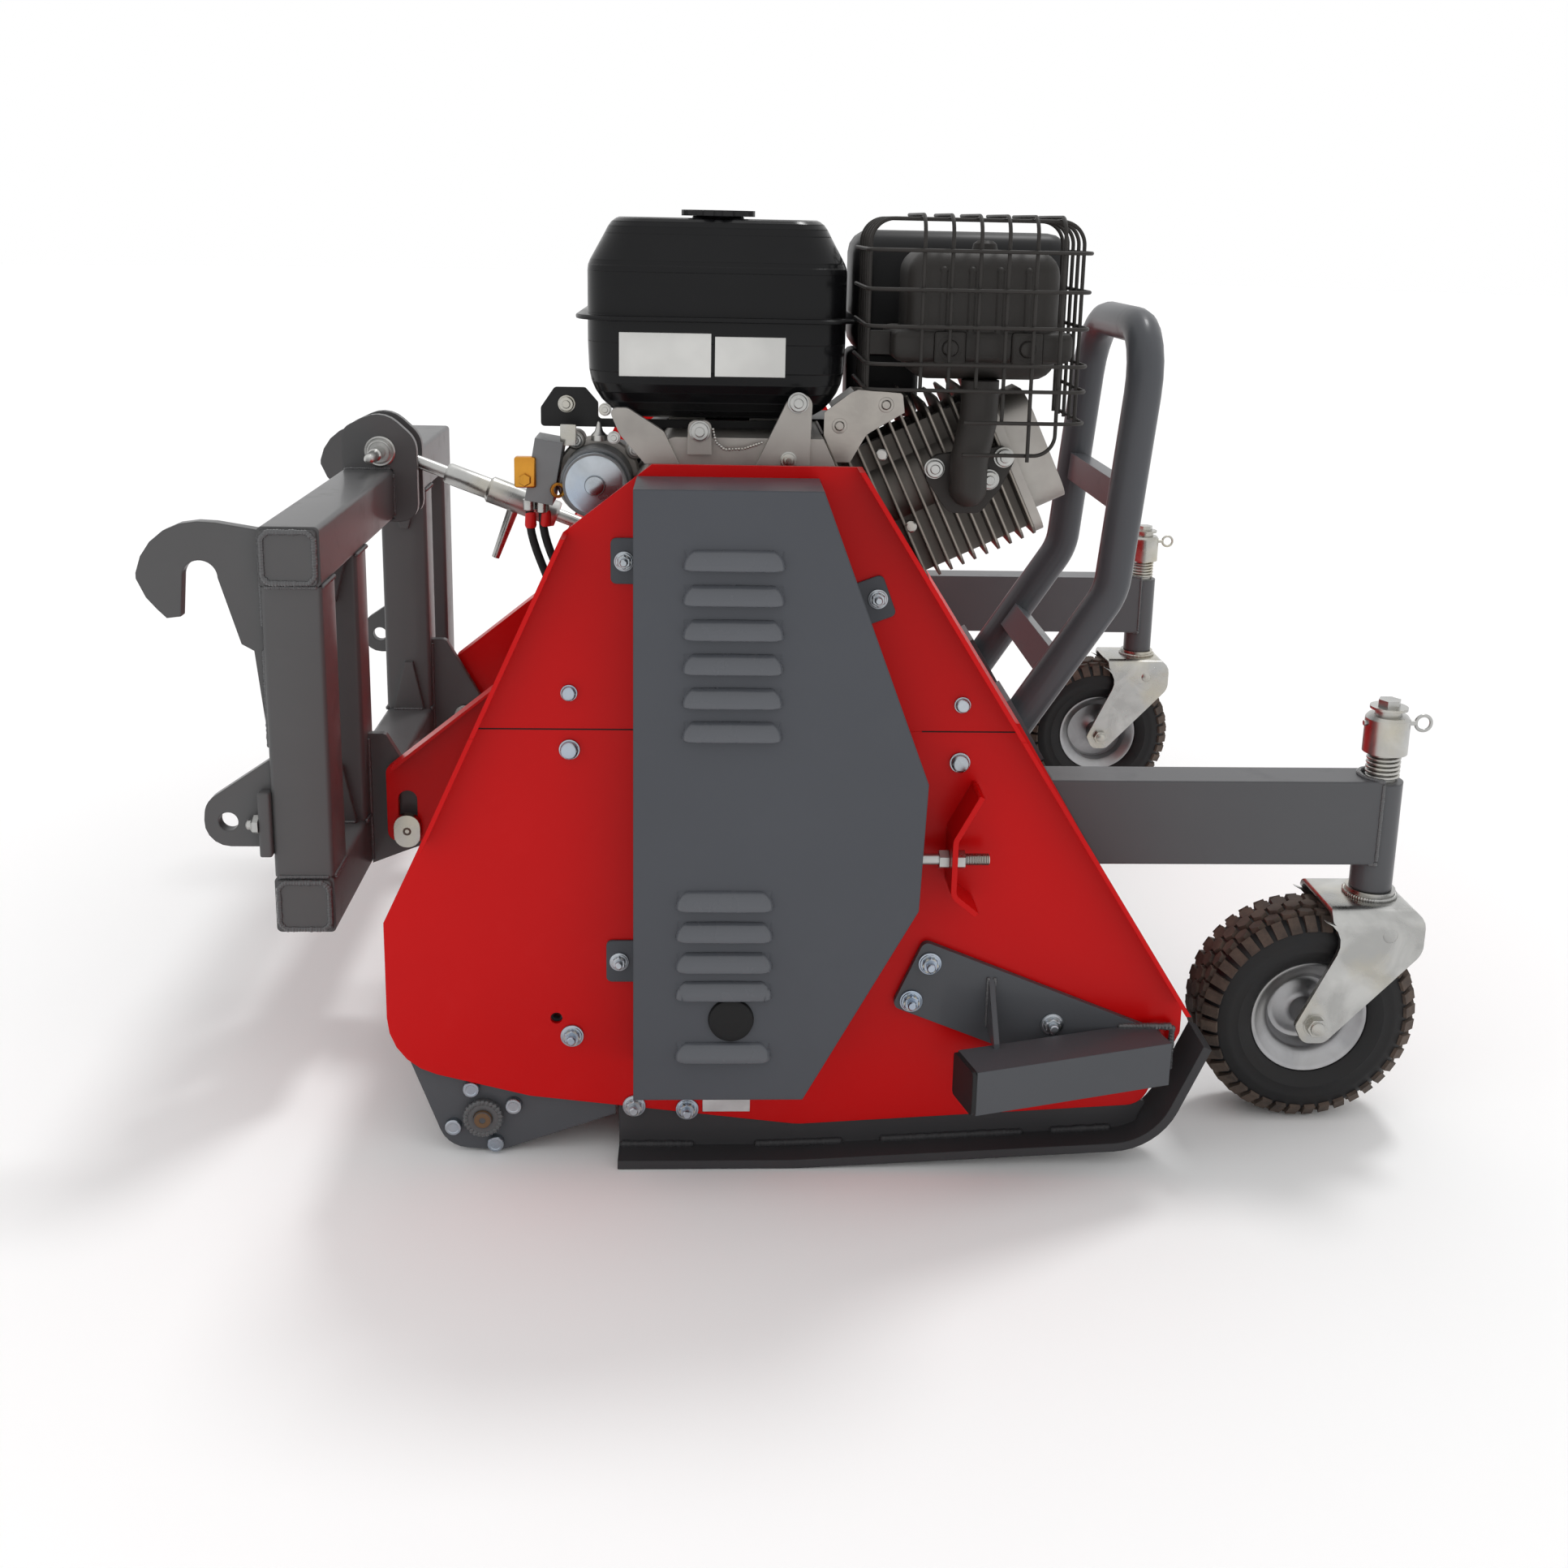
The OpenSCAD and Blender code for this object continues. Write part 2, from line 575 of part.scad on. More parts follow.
bar_low = at_height(deck_out[4], deck_out[5], 450);
bar_mid = bar_low + [103, 160];
bar_top = [bar_mid.x + (bar_high - bar_mid.y) * 0.092, bar_high];
module bull_bar() {
    y0 = -bar_out;
    y1 = -bar_out + bar_w;
    r = bar_d / 2;
    along = unit(deck_out[5] - deck_out[4]);
    up = perp(along);
    foot = bar_low - unit(bar_mid - bar_low) * 30;
    path = [[foot.x, y0, foot.y], [bar_mid.x, y0, bar_mid.y], [bar_top.x, y0, bar_top.y],
        [bar_top.x, y1, bar_top.y], [bar_mid.x, y1, bar_mid.y], [foot.x, y1, foot.y]];
    leg = unit(bar_top - bar_mid);
    low_leg = unit(bar_mid - bar_low);
    color(slate) {
        difference() {
            sweep(bends(path, 75), r, r - 3, 20);
            along_y(y0 - 60, y1 + 60)
                polygon([for (q = [[-90, 6 + seat], [90, 6 + seat], [90, -90], [-90, -90]])
                bar_low + along * q.x + up * q.y]);
        }
        for (y = [y0, y1]) along_y(y - 40, y + 40)
            polygon([for (q = [[-42, 0], [42, 0], [42, 6], [-42, 6]]) bar_low + along * q.x + up * q.y]);
        for (s = [[at_height(bar_mid, bar_top, 720), leg], [at_height(bar_low, bar_mid, 514), low_leg]])
            translate([s[0].x, 0, s[0].y]) rotate([0, -atan2(s[1].y, s[1].x), 0])
                box_at([-17, y0 + r + seat, -11], [17, y1 - r - seat, 11]);
    }
}
module link_bracket() {
    base = platform_z + seat;
    color(red) {
        difference() {
            for (s = [-1, 1]) along_y(s * 20 - 4, s * 20 + 4)
                polygon(rounded([[link_at.x - 38, base, 0], [link_at.x + 52, base, 0],
                    [link_at.x + 20, link_at.y + 20, 18], [link_at.x - 22, link_at.y + 20, 18]]));
            rod_y(9 + seat, link_at, -30, 30);
        }
        box_at([link_at.x - 38, -16 + seat, base], [link_at.x + 52, 16 - seat, base + 8]);
    }
    color(zinc) {
        rod_y(9, link_at, -34, 34);
        for (s = [-1, 1]) rod_y(14, link_at, s * 27.5 - 3, s * 27.5 + 3);
    }
}

// ---- rotor and flails ----
row_angles = [for (k = [0 : flail_rows - 1]) -90 + 360 / flail_rows * k];
rotor_half = side_in - 70;
flail_pitch = (2 * rotor_half - 120) / flails;
ear_gap = 17;
function flail_station(k, row) = -rotor_half + 60 + flail_pitch * (k + 1 / 6 + row / 3);
function pivot(row) = rotor_at + flail_pivot_r * dir(row_angles[row]);

module rotor() {
    color(black) difference() {
        union() {
            rod_y(rotor_r, rotor_at, -rotor_half, rotor_half);
            for (row = [0 : flail_rows - 1], k = [0 : flails - 1], s = [-1, 1])
                translate([rotor_at.x, 0, rotor_at.y]) rotate([0, -row_angles[row], 0])
                    along_y(flail_station(k, row) + s * ear_gap - 3, flail_station(k, row) + s * ear_gap + 3)
                        polygon(rounded([[rotor_r - 3, -20, 0], [flail_pivot_r + 12, -12, 11],
                            [flail_pivot_r + 12, 12, 11], [rotor_r - 3, 20, 0]], 3));
        }
        hole_y(rotor_at, rotor_r - 6, -rotor_half + 12, rotor_half - 12);
        for (row = [0 : flail_rows - 1]) hole_y(pivot(row), 6 + fit, -rotor_half, rotor_half);
        hole_y(rotor_at, 17.5 + seat, -rotor_half, rotor_half);
    }
    color(zinc) {
        rod_y(17.5, rotor_at, -hub_y - 6, -rotor_half + 40);
        rod_y(17.5, rotor_at, rotor_half - 40, side_in - 12);
        for (row = [0 : flail_rows - 1], k = [0 : flails - 1])
            let (y = flail_station(k, row)) {
                rod_y(6, pivot(row), y - ear_gap - 4, y + ear_gap + 4);
                for (s = [-1, 1])
                    rod_y(9, pivot(row), y + s * (ear_gap + 6) - 2.5, y + s * (ear_gap + 6) + 2.5);
            }
    }
}

// One bent flail: a flat bar that hangs from its bolt and splays out towards its cutting edge
module flail(side) {
    difference() {
        translate([-15, 0, 0]) rotate([90, 0, 90]) linear_extrude(30)
            polygon(strip([[side * 4, 12], [side * 4, -flail_l * 0.45], [side * 18, -flail_l]], 6));
        rotate([90, 0, 0]) translate([0, 0, -40]) cylinder(r = 6 + fit, h = 80);
        for (s = [-1, 1]) translate([s * 15, 0, 12]) rotate([0, 45, 0]) cube([12, 80, 12], center = true);
    }
}
module flail_row(row) {
    color(slate) for (k = [0 : flails - 1], side = [-1, 1])
        translate([pivot(row).x, flail_station(k, row), pivot(row).y]) flail(side);
}
module flails_a() { flail_row(0); }
module flails_b() { flail_row(1); }
module flails_c() { flail_row(2); }

// ---- belt drive ----
module pulley(p, r, bore) {
    y0 = -belt_y - hub_w / 2;
    y1 = -belt_y + hub_w / 2;
    groove = belt_w / 2 + 0.5;
    difference() {
        turned_y(p) polygon([[bore, y0], [r, y0],
            each [for (s = [-1, 1], q = [[0, -1], [belt_t, -1], [belt_t, 1], [0, 1]])
                [r - q.x, -belt_y + s * belt_pitch / 2 + q.y * groove]], [r, y1], [bore, y1]]);
        turned_y(p) for (y = [y0 - 1, y1 - 7])
            polygon([[bore + 10, y], [r - belt_t - 7, y], [r - belt_t - 7, y + 8], [bore + 10, y + 8]]);
    }
}
module crank_pulley() {
    color(slate) pulley(crank, crank_pulley_r, 14 + seat);
    color(zinc) {
        rod_y(14, crank, -belt_y - hub_w / 2 - 6, -pto_y + bore_d - 4);
        rod_y(16, crank, -belt_y - hub_w / 2 - 12, -belt_y - hub_w / 2 - 6);
    }
}
module rotor_pulley() {
    color(slate) difference() {
        pulley(rotor_at, rotor_pulley_r, 17.5 + seat);
        for (k = [0 : 4]) hole_y(rotor_at + 40 * dir(72 * k), 9, -belt_y - 30, -belt_y + 30);
    }
}
module drive_belts() {
    a = crank_pulley_r - belt_t;
    b = rotor_pulley_r - belt_t;
    color(black) for (s = [-1, 1]) let (y = -belt_y + s * belt_pitch / 2)
        along_y(y - belt_w / 2, y + belt_w / 2) difference() {
            polygon(belt_loop(crank, a, rotor_at, b, belt_t));
            polygon(belt_loop(crank, a, rotor_at, b, 0.6));
        }
}
module idler_arm() {
    y1 = -half - 10;
    pad = arm_pivot.x + 6;
    color(slate) difference() {
        union() {
            along_y(y1 - 6, y1)
                polygon(rounded([[arm_pivot.x - 14, arm_pivot.y + 14, 13], [arm_pivot.x - 60, 405, 12],
                    [idler_at.x, 382, 14], [pad + 6, 350, 6], [pad + 6, 385, 6],
                    [arm_pivot.x + 14, arm_pivot.y + 10, 13]]));
            box_at([pad, -tension_y - 10, 351], [pad + 6, y1, 381]);
        }
        hole_y(arm_pivot, 8 + fit, y1 - 6, y1);
    }
    color(zinc) rod_y(8, idler_at, -belt_y - hub_w / 2 - 4, y1 - 6 + 0.5);
}
module idler_pivot() {
    rod_y(8, arm_pivot, -half - 20, -half - seat);
    rod_y(12, arm_pivot, -half - 9.7, -half - seat);
    rod_y(12, arm_pivot, -half - 20, -half - 16.3);
}
module idler_pulley() {
    y0 = -belt_y - hub_w / 2 + 1;
    y1 = -belt_y + hub_w / 2 - 1;
    color(slate) turned_y(idler_at)
        polygon([[8 + fit, y0], [idler_r, y0], [idler_r, y1], [8 + fit, y1]]);
}

// Four-bolt bearings for the rotor shaft inside both plates
module flange_bearings() {
    color(black) both_sides() difference() {
        union() {
            along_y(-side_in + seat, -side_in + 14) polygon(box_move(box_path(118, 118, 22), rotor_at));
            rod_y(38, rotor_at, -side_in + 1, -side_in + 42);
        }
        hole_y(rotor_at, 17.5 + fit, -side_in, -side_in + 42);
        for (s = [-1, 1], t = [-1, 1]) hole_y(rotor_at + [s * 43, t * 43], 6, -side_in, -side_in + 14);
    }
}
function box_move(p, at) = [for (q = p) q + at];

// ---- rear roller ----
roller_at = [roller_x, roller_r + 0.2];
roller_bolts = [for (k = [0 : 3]) roller_at + 36 * dir(21 + 90 * k)];
module roller_brackets() {
    outer = -side_in + 5.4;
    color(slate) both_sides() difference() {
        along_y(outer, outer + 8)
            polygon(rounded([[-268, 120, 8], [-226, 6, 34], [-166, 1, 34], [-38, 46, 0], [-38, 110, 10],
                [-68, 168, 16], [-112, 172, 16]]));
        hole_y(roller_at, 20, outer, outer + 8);
        for (p = roller_bolts) hole_y(p, 4 + seat, outer, outer + 8);
        hole_y(stay_bolt, 5 + seat, outer, outer + 8);
        hole_y(stay_hole, 6.5, outer, outer + 8);
    }
    color(zinc) both_sides() {
        for (p = roller_bolts) bolt_y(p, outer - seat, 8, 25, 18.5);
        difference() {
            union() {
                rod_y(19.8, roller_at, outer - 8, outer + 8);
                along_y(outer + 8 + seat, outer + 18) polygon(box_move(box_path(84, 84, 30), roller_at));
            }
            hole_y(roller_at, 10 + fit, outer - 9, outer + 19);
            for (p = roller_bolts) hole_y(p, 4 + seat, outer, outer + 18);
        }
    }
}
module rear_roller() {
    inner = side_in - 36;
    color(slate) difference() {
        rod_y(roller_r, roller_at, -inner, inner);
        hole_y(roller_at, roller_r - 5, -inner + 10, inner - 10);
        hole_y(roller_at, 10 + seat, -inner, inner);
    }
    color(zinc) both_sides() rod_y(10, roller_at, -side_in - 8, -inner + 30);
}

// ---- casters ----
module caster_arms() {
    r = 24;
    zt = arm_z + arm_h / 2;
    zb = arm_z - arm_h / 2;
    a = at_height(deck_out[4], deck_out[5], zt);
    b = at_height(deck_out[4], deck_out[5], zb);
    color(slate) both_sides() translate([0, -caster_y, 0]) {
        difference() {
            along_y(-25, 25) polygon([b, [spindle_x - 6, zb], [spindle_x - 6, zt], a]);
            along_y(-21, 21)
                polygon([b + [-40, 4], [spindle_x - 34, zb + 4], [spindle_x - 34, zt - 4], a + [-40, -4]]);
            translate([spindle_x, 0, zb - 1]) cylinder(r = r - 1, h = arm_h + 2);
        }
        translate([spindle_x, 0, 281]) difference() {
            cylinder(r = r, h = 131);
            translate([0, 0, -1]) cylinder(r = spindle_r + fit, h = 140);
        }
    }
}

// A coil of round wire, as rings of eight points along a helix
module coil(r, wire, height, turns) {
    n = 20;
    rings = turns * n;
    rise = height / turns;
    pts = [for (i = [0 : rings], k = [0 : 7])
        let (a = i * 360 / n, q = wire * dir(45 * k))
            [(r + q.x) * cos(a), (r + q.x) * sin(a), wire + rise * i / n + q.y]];
    faces = concat([[for (k = [7 : -1 : 0]) k]], [[for (k = [0 : 7]) rings * 8 + k]],
        [for (i = [0 : rings - 1], k = [0 : 7]) let (q = i * 8, m = (k + 1) % 8)
            [q + k, q + m, q + 8 + m, q + 8 + k]]);
    polyhedron([for (p = pts) p], [for (f = faces) reverse(f)]);
}
module spindle_springs() {
    color(zinc) both_sides() translate([spindle_x, -caster_y, 412 + gap])
        coil(17.4, 2, collar_z - 412 - 2 * gap - 4, 5);
}
module fork() {
    leg = leg_in + leg_t / 2;
    color(zinc) translate([0, -caster_y, 0]) {
        difference() {
            intersection() {
                along_x(650, 950)
                    polygon(strip(rounded([[-leg, 90, 0], [-leg, fork_top - leg_t / 2, 14],
                        [leg, fork_top - leg_t / 2, 14], [leg, 90, 0]]), leg_t));
                along_y(-90, 90)
                    polygon(rounded([[spindle_x - 62, fork_top + 1, 6], [spindle_x - 62, fork_top - 16, 8],
                        [spindle_x - 40, fork_top - 24, 30], [axle_x - 24, axle_z, 8],
                        [axle_x - 14, axle_z - 22, 14],
                        [axle_x + 12, axle_z - 22, 14], [spindle_x + 46, fork_top - 52, 26],
                        [spindle_x + 46, fork_top + 1, 22]]));
            }
            hole_y([axle_x, axle_z], axle_r + seat, -90, 90);
        }
        translate([spindle_x, 0, fork_top - 3]) difference() {
            cylinder(r = spindle_r, h = collar_z + 51 - fork_top + 3);
            translate([0, 0, collar_z + 34 - fork_top + 3])
                rotate([0, 90, 0]) cylinder(r = 3.4, h = 80, center = true);
        }
        translate([spindle_x, 0, fork_top - 1]) cylinder(r = 28, h = 281 - fork_top + 1 - gap);
        rod_y(axle_r, [axle_x, axle_z], -leg - leg_t / 2 - 10, leg + leg_t / 2 + 10);
        for (s = [-1, 1])
            translate([axle_x, s * (leg + leg_t / 2 + 4.1), axle_z]) rotate([90, 0, 0]) difference() {
                cylinder(r = 12, h = 8, center = true, $fn = 6);
                cylinder(r = axle_r + seat, h = 10, center = true);
            }
    }
}
module collar() {
    color(zinc) translate([spindle_x, -caster_y, collar_z]) {
        difference() {
            rotate_extrude()
                polygon([[spindle_r + seat, 0], [25, 0], [25, 40], [22, 44], [spindle_r + seat, 44]]);
            translate([0, 0, 34]) rotate([0, 90, 0]) cylinder(r = 3.4, h = 80, center = true);
        }
        translate([-28, 0, 34]) rotate([0, 90, 0]) cylinder(r = 3, h = 62);
        translate([42, 0, 34]) rotate([90, 0, 0]) rotate_extrude() translate([9, 0]) circle(2, $fn = 16);
        translate([0, 0, 51.2]) cylinder(r = 21, h = 3);
        translate([0, 0, 54.2]) cylinder(r = 13, h = 8, $fn = 6);
    }
}
module fork_right() { fork(); }
module fork_left() { mirror([0, 1, 0]) fork(); }
module collar_right() { collar(); }
module collar_left() { mirror([0, 1, 0]) collar(); }

module rim() {
    w = tyre_w / 2 - 12;
    color(zinc) translate([0, -caster_y, 0]) difference() {
        turned_y([axle_x, axle_z])
            polygon([[axle_r + fit, -leg_in + 1], [16, -leg_in + 1], [16, -10], [34, -4], [44, -12],
                [50, -w + 6], [54, -w + 2], [rim_r + 8, -w - 4], [rim_r + 8, -w], [rim_r, -w + 4],
                [rim_r, w - 4], [rim_r + 8, w], [rim_r + 8, w + 4], [52, w - 2], [52, 6], [16, 14],
                [16, leg_in - 1], [axle_r + fit, leg_in - 1]]);
        for (k = [0 : 3]) hole_y([axle_x, axle_z] + 26 * dir(45 + 90 * k), 3, -60, 60);
    }
}
module tyre() {
    w = tyre_w / 2;
    r = tyre_d / 2;
    lip = tyre_w / 2 - 12;
    side = rounded([[rim_r + seat, 0, 0], [rim_r + seat, lip - 4.2, 0], [rim_r + 8 + seat, lip - 0.2, 0],
        [rim_r + 8 + seat, lip + 6, 2], [rim_r + 30, w, 16], [r - 16, w - 4, 14], [r - 5, w - 12, 5],
        [r, w - 26, 20], [r, 0, 0]], 4);
    half_tyre = [for (k = [1 : len(side) - 2]) side[k]];
    color(black) translate([0, -caster_y, 0]) turned_y([axle_x, axle_z])
        polygon(concat(half_tyre, [for (q = reverse(half_tyre)) [q.x, -q.y]]));
}
module rim_right() { rim(); }
module rim_left() { mirror([0, 1, 0]) rim(); }
module tyre_right() { tyre(); }
module tyre_left() { mirror([0, 1, 0]) tyre(); }

// ---- hitch ----
module square_tube_y(x, z, y0, y1) {
    t = tube / 2;
    difference() {
        along_y(y0, y1) translate([x, z]) polygon(box_path(tube, tube, 6));
        along_y(y0 - 1, y1 + 1) translate([x, z]) square(tube - 2 * tube_wall, center = true);
    }
}
module upright(y, w) {
    low = hitch_low + tube / 2 + seat;
    translate([hitch_x, y, low]) difference() {
        linear_extrude(hitch_top - tube / 2 - seat - low) polygon(box_path(tube, w, 6));
        translate([0, 0, -1]) linear_extrude(hitch_top)
            square([tube - 2 * tube_wall, w - 2 * tube_wall], center = true);
    }
}
bracket_y = lug_y - lug_t / 2 - 4 - 6;
module hitch_frame() {
    front = hitch_x + tube / 2;
    low = hitch_low + tube / 2;
    high = hitch_top - tube / 2;
    color(slate) {
        for (z = [hitch_top, hitch_low]) square_tube_y(hitch_x, z, -hitch_w / 2, hitch_w / 2);
        both_sides() {
            for (z = [hitch_top, hitch_low]) along_y(-hitch_w / 2 - 5, -hitch_w / 2 - seat)
                translate([hitch_x, z]) polygon(box_path(tube - 6, tube - 6, 5));
            upright(-hitch_w / 2 + tube / 2, tube);
            upright(-inner_y, 60);
            difference() {
                along_y(-bracket_y - 6, -bracket_y + 6)
                    polygon(rounded([[front + seat, 186, 0], [pin_at.x - 8, 203, 0],
                        [pin_at.x + 27, 216, 24],
                        [pin_at.x + 27, 266, 24], [front + 22, 365, 8], [front + seat, 365, 0]]));
                hole_y(pin_at, pin_r + fit, -bracket_y - 6, -bracket_y + 6);
            }
            for (s = [-1, 1], e = [[low, 1, 78], [high, -1, 60]])
                along_y(-inner_y + s * 33 - 3, -inner_y + s * 33 + 3) translate([hitch_x, e[0]])
                    polygon([for (q = [[-24, seat], [24, seat], [8, e[2]], [-4, e[2]]]) [q.x, q.y * e[1]]]);
        }
        difference() {
            for (s = [-1, 1]) along_y(s * ear_y - 6, s * ear_y + 6)
                difference() {
                    polygon(rounded([[hitch_x - 34, high - 4, 10], [front + 33, high - 4, 24],
                        [front + 33, 720, 36], [ear_at.x + 4, 762, 40], [hitch_x - 34, 735, 20]]));
                    translate([hitch_x, hitch_top]) square(tube + 2 * seat, center = true);
                }
            rod_y(10 + seat, ear_at, -40, 40);
        }
    }
}

// The loader's hooks and the lower locking lugs, on both end uprights
module hitch_hooks() {
    back = hitch_x - tube / 2 - seat;
    throat = [hook_tip + 72, 616];
    lock = [-504, 321];
    color(slate) both_sides() {
        difference() {
            along_y(-hook_y - 7.5, -hook_y + 7.5) polygon(concat(
                [[back, 672], [back, 410], [back - 12, 530], [back - 26, 538], [throat.x + hook_r, throat.y],
                    [throat.x - hook_r, throat.y]],
                [for (q = [[48, 46], [32, 48], [22, 38], [10, 24], [0, 2]])
                    [hook_tip + q.x, throat.y - q.y]],
                [for (k = [0 : 5]) throat + [0, -8] + 73 * dir(170 - 16 * k)], [[throat.x + 20, 680]]));
            hole_y(throat, hook_r, -hook_y - 8, -hook_y + 8);
        }
        difference() {
            along_y(-hook_y - 7.5, -hook_y + 7.5)
                polygon(rounded([[back, lock.y - 31, 0], [back, lock.y + 78, 0],
                    [lock.x - 26, lock.y + 24, 28], [lock.x - 31, lock.y - 31, 30]]));
            hole_y(lock, lock_r, -hook_y - 8, -hook_y + 8);
        }
        box_at([back - 14, -hook_y + 7.5 + seat, lock.y - 39], [back, -hook_y + 42, lock.y + 41]);
    }
    color(zinc) both_sides() translate([back - 14 - seat, -hook_y + 25, lock.y]) rotate([0, -90, 0]) {
        cylinder(r = 11, h = 8, $fn = 6);
        cylinder(r = 6, h = 14);
    }
}
module hitch_pins() {
    out = -lug_y - lug_t / 2;
    color(zinc) both_sides() {
        rod_y(pin_r, pin_at, out - 2, -bracket_y + 16);
        along_y(out - 12, out - gap)
            polygon(box_move(rounded([[-17, -22, 16], [17, -22, 16], [17, 22, 16], [-17, 22, 16]]), pin_at));
        rod_y(17, pin_at, -bracket_y + 6 + gap, -bracket_y + 12);
    }
}

// ---- top link ----
module on_link(s) {
    translate([ear_at.x + link_dir.x * s, 0, ear_at.y + link_dir.y * s])
        rotate([0, 90 - link_tilt, 0]) children();
}
sleeve_from = 92;
sleeve_to = link_l - 62;
module link_rod() {
    color(zinc) {
        difference() {
            union() {
                along_y(-7, 7) polygon(rounded([for (q = [[-18, -18], [24, -15], [24, 15], [-18, 18]])
                    let (w = ear_at + link_dir * q.x + perp(link_dir) * q.y) [w.x, w.y, q.x < 0 ? 14 : 6]]));
                on_link(22) cylinder(r = 9, h = sleeve_from + 40 - 22);
            }
            rod_y(9 + fit, ear_at, -10, 10);
        }
        difference() {
            union() {
                along_y(-9, 9) polygon(rounded([for (q = [[-24, -15], [18, -18], [18, 18], [-24, 15]])
                    let (w = link_at + link_dir * q.x + perp(link_dir) * q.y)
                    [w.x, w.y, q.x > 0 ? 14 : 6]]));
                on_link(link_l - 95) cylinder(r = 9, h = 73);
            }
            rod_y(12, link_at, -12, 12);
        }
    }
}
module link_sleeve() {
    handle = sleeve_from + 105;
    length = sleeve_to - sleeve_from;
    color(zinc) on_link(sleeve_from) rotate_extrude()
        polygon([[9 + fit, 0], [13, 0], [15, 4], [15, 62], [19, 66], [19, length - 4], [17, length],
            [9 + fit, length]]);
    color(slate) on_link(handle) rotate([0, 90, 0]) translate([0, 0, 18]) cylinder(r1 = 8, r2 = 5.5, h = 72);
}
module link_pin() {
    color(zinc) {
        rod_y(9, ear_at, -66, 58);
        rod_y(16, ear_at, -36, -28 - gap);
        translate([ear_at.x, 48, ear_at.y]) rotate([0, 90, 0])
            rotate_extrude() translate([14, 0]) circle(1.8, $fn = 16);
    }
}

// ---- engine ----
module on_cylinder() { translate([crank_x, -cyl_y, crank_z]) rotate([0, -cyl_tilt, 0]) children(); }
function from_crank(u, v) = crank + u * dir(cyl_tilt) + v * dir(cyl_tilt + 90);
joint_u = 130;
case_top = from_crank(joint_u, 92).y;
head_u = joint_u + 12 * fin_pitch;
fin_low = 102;
module crankcase() {
    foot = platform_z + seat;
    rear = starter_at.x + starter_r + seat;
    a = from_crank(joint_u, -100);
    b = from_crank(joint_u, 92);
    color(alloy) difference() {
        union() {
            along_y(-pto_y, -pto_y + 155)
                polygon(rounded([[rear, foot, 0], [a.x, foot, 0], [a.x, a.y, 0], [b.x, b.y, 0],
                    [18, b.y, 12],
                    [rear, 750, 30]]));
            box_at([-62, -pto_y + 6, foot], [a.x + 26, -pto_y + 149, foot + 14]);
            rod_y(58, crank, -pto_y - 9, -pto_y + 2);
            for (k = [0 : 5]) rod_y(9, crank + 84 * dir(30 + 60 * k), -pto_y - 4, -pto_y + 2);
        }
        hole_y(crank, 14 + fit, -pto_y - 10, -pto_y + bore_d);
    }
}
module engine_cylinder() {
    color(alloy * 0.45) on_cylinder() difference() {
        union() {
            rod_x(46, 0, 0, joint_u + seat, head_u);
            for (k = [0 : 12]) {
                high = k > 7 ? 79 : 93;
                translate([joint_u + seat + k * fin_pitch, 0, 0]) rotate([90, 0, 90]) linear_extrude(fin_t)
                    polygon(box_move(box_path(fin_w, high + fin_low, 12), [0, (high - fin_low) / 2]));
            }
            for (y = [-34, 22]) box_at([joint_u + seat, y, -fin_low + 6], [head_u, y + 12, 60]);
        }
        rod_x(44, 0, 0, joint_u - 5, joint_u + 100);
    }
}
module valve_cover() {
    color(alloy) on_cylinder() {
        translate([head_u + fin_t + 2 * seat, 0, 0]) rotate([90, 0, 90]) linear_extrude(10)
            polygon(box_move(box_path(fin_w, 74 + fin_low, 20), [0, (74 - fin_low) / 2]));
        translate([head_u + fin_t + 10 + 3 * seat, 0, 0]) rotate([90, 0, 90]) linear_extrude(37)
            polygon(box_move(box_path(104, 128, 26), [0, -18]));
    }
}
blower_top = 806;
module blower_housing() {
    y0 = -pto_y + 155 + seat;
    color(black) {
        difference() {
            along_y(y0, y0 + 92)
                polygon(rounded([[-58, platform_z + 16, 40], [238, platform_z + 16, 40], [262, 700, 60],
                    [250, blower_top, 20], [0, blower_top, 60], [-58, 740, 60]], 6));
            rod_y(88, crank, y0 + 60, y0 + 93);
        }
        difference() {
            turned_y(crank) polygon([[0, y0 + 60.2], [86, y0 + 60.2], [86, y0 + 92], [74, y0 + 112],
                [30, y0 + 120], [0, y0 + 120]]);
            for (k = [0 : 17]) translate([crank_x, 0, crank_z]) rotate([0, 20 * k, 0])
                box_at([34, y0 + 100, -3], [76, y0 + 121, 3]);
        }
    }
}

// A slab of the tank's rounded outline, grown by g, at height z
module tank_slab(z, shrink, r) {
    translate([tank_mid.x, tank_mid.y, z])
        linear_extrude(1) polygon(box_path(tank_w - 2 * shrink, tank_d - 2 * shrink, r));
}
module tank_body(g) {
    shoulder = tank_seam + (tank_top - tank_seam) * 0.53;
    hull() {
        tank_slab(tank_seam + 2, g, 40);
        tank_slab(shoulder - g / 2, g, 40);
    }
    hull() {
        tank_slab(shoulder - g / 2, g, 40);
        tank_slab(tank_top - 8 - g, 21 + g, 34);
        tank_slab(tank_top - 1 - g, 30 + g, 30);
    }
    hull() {
        tank_slab(tank_seam + 1, g, 40);
        tank_slab(tank_low + 39 + g / 2, 4 + g, 40);
        tank_slab(tank_low + 9 + g, 20 + g, 34);
        tank_slab(tank_low + g, 42 + g, 28);
    }
}
cap_at = [tank_mid.x, -pto_y + 66];
cap_r = 39;
module fuel_tank() {
    color(black) difference() {
        union() {
            tank_body(0);
            translate([tank_mid.x, tank_mid.y, tank_seam - 2])
                linear_extrude(4) polygon(box_path(tank_w + 26, tank_d + 24, 40));
            translate([cap_at.x, cap_at.y, tank_top - 12]) cylinder(r = cap_r - 12, h = 14);
        }
        tank_body(4);
        translate([cap_at.x, cap_at.y, tank_top - 40]) cylinder(r = 24, h = 60);
    }
}
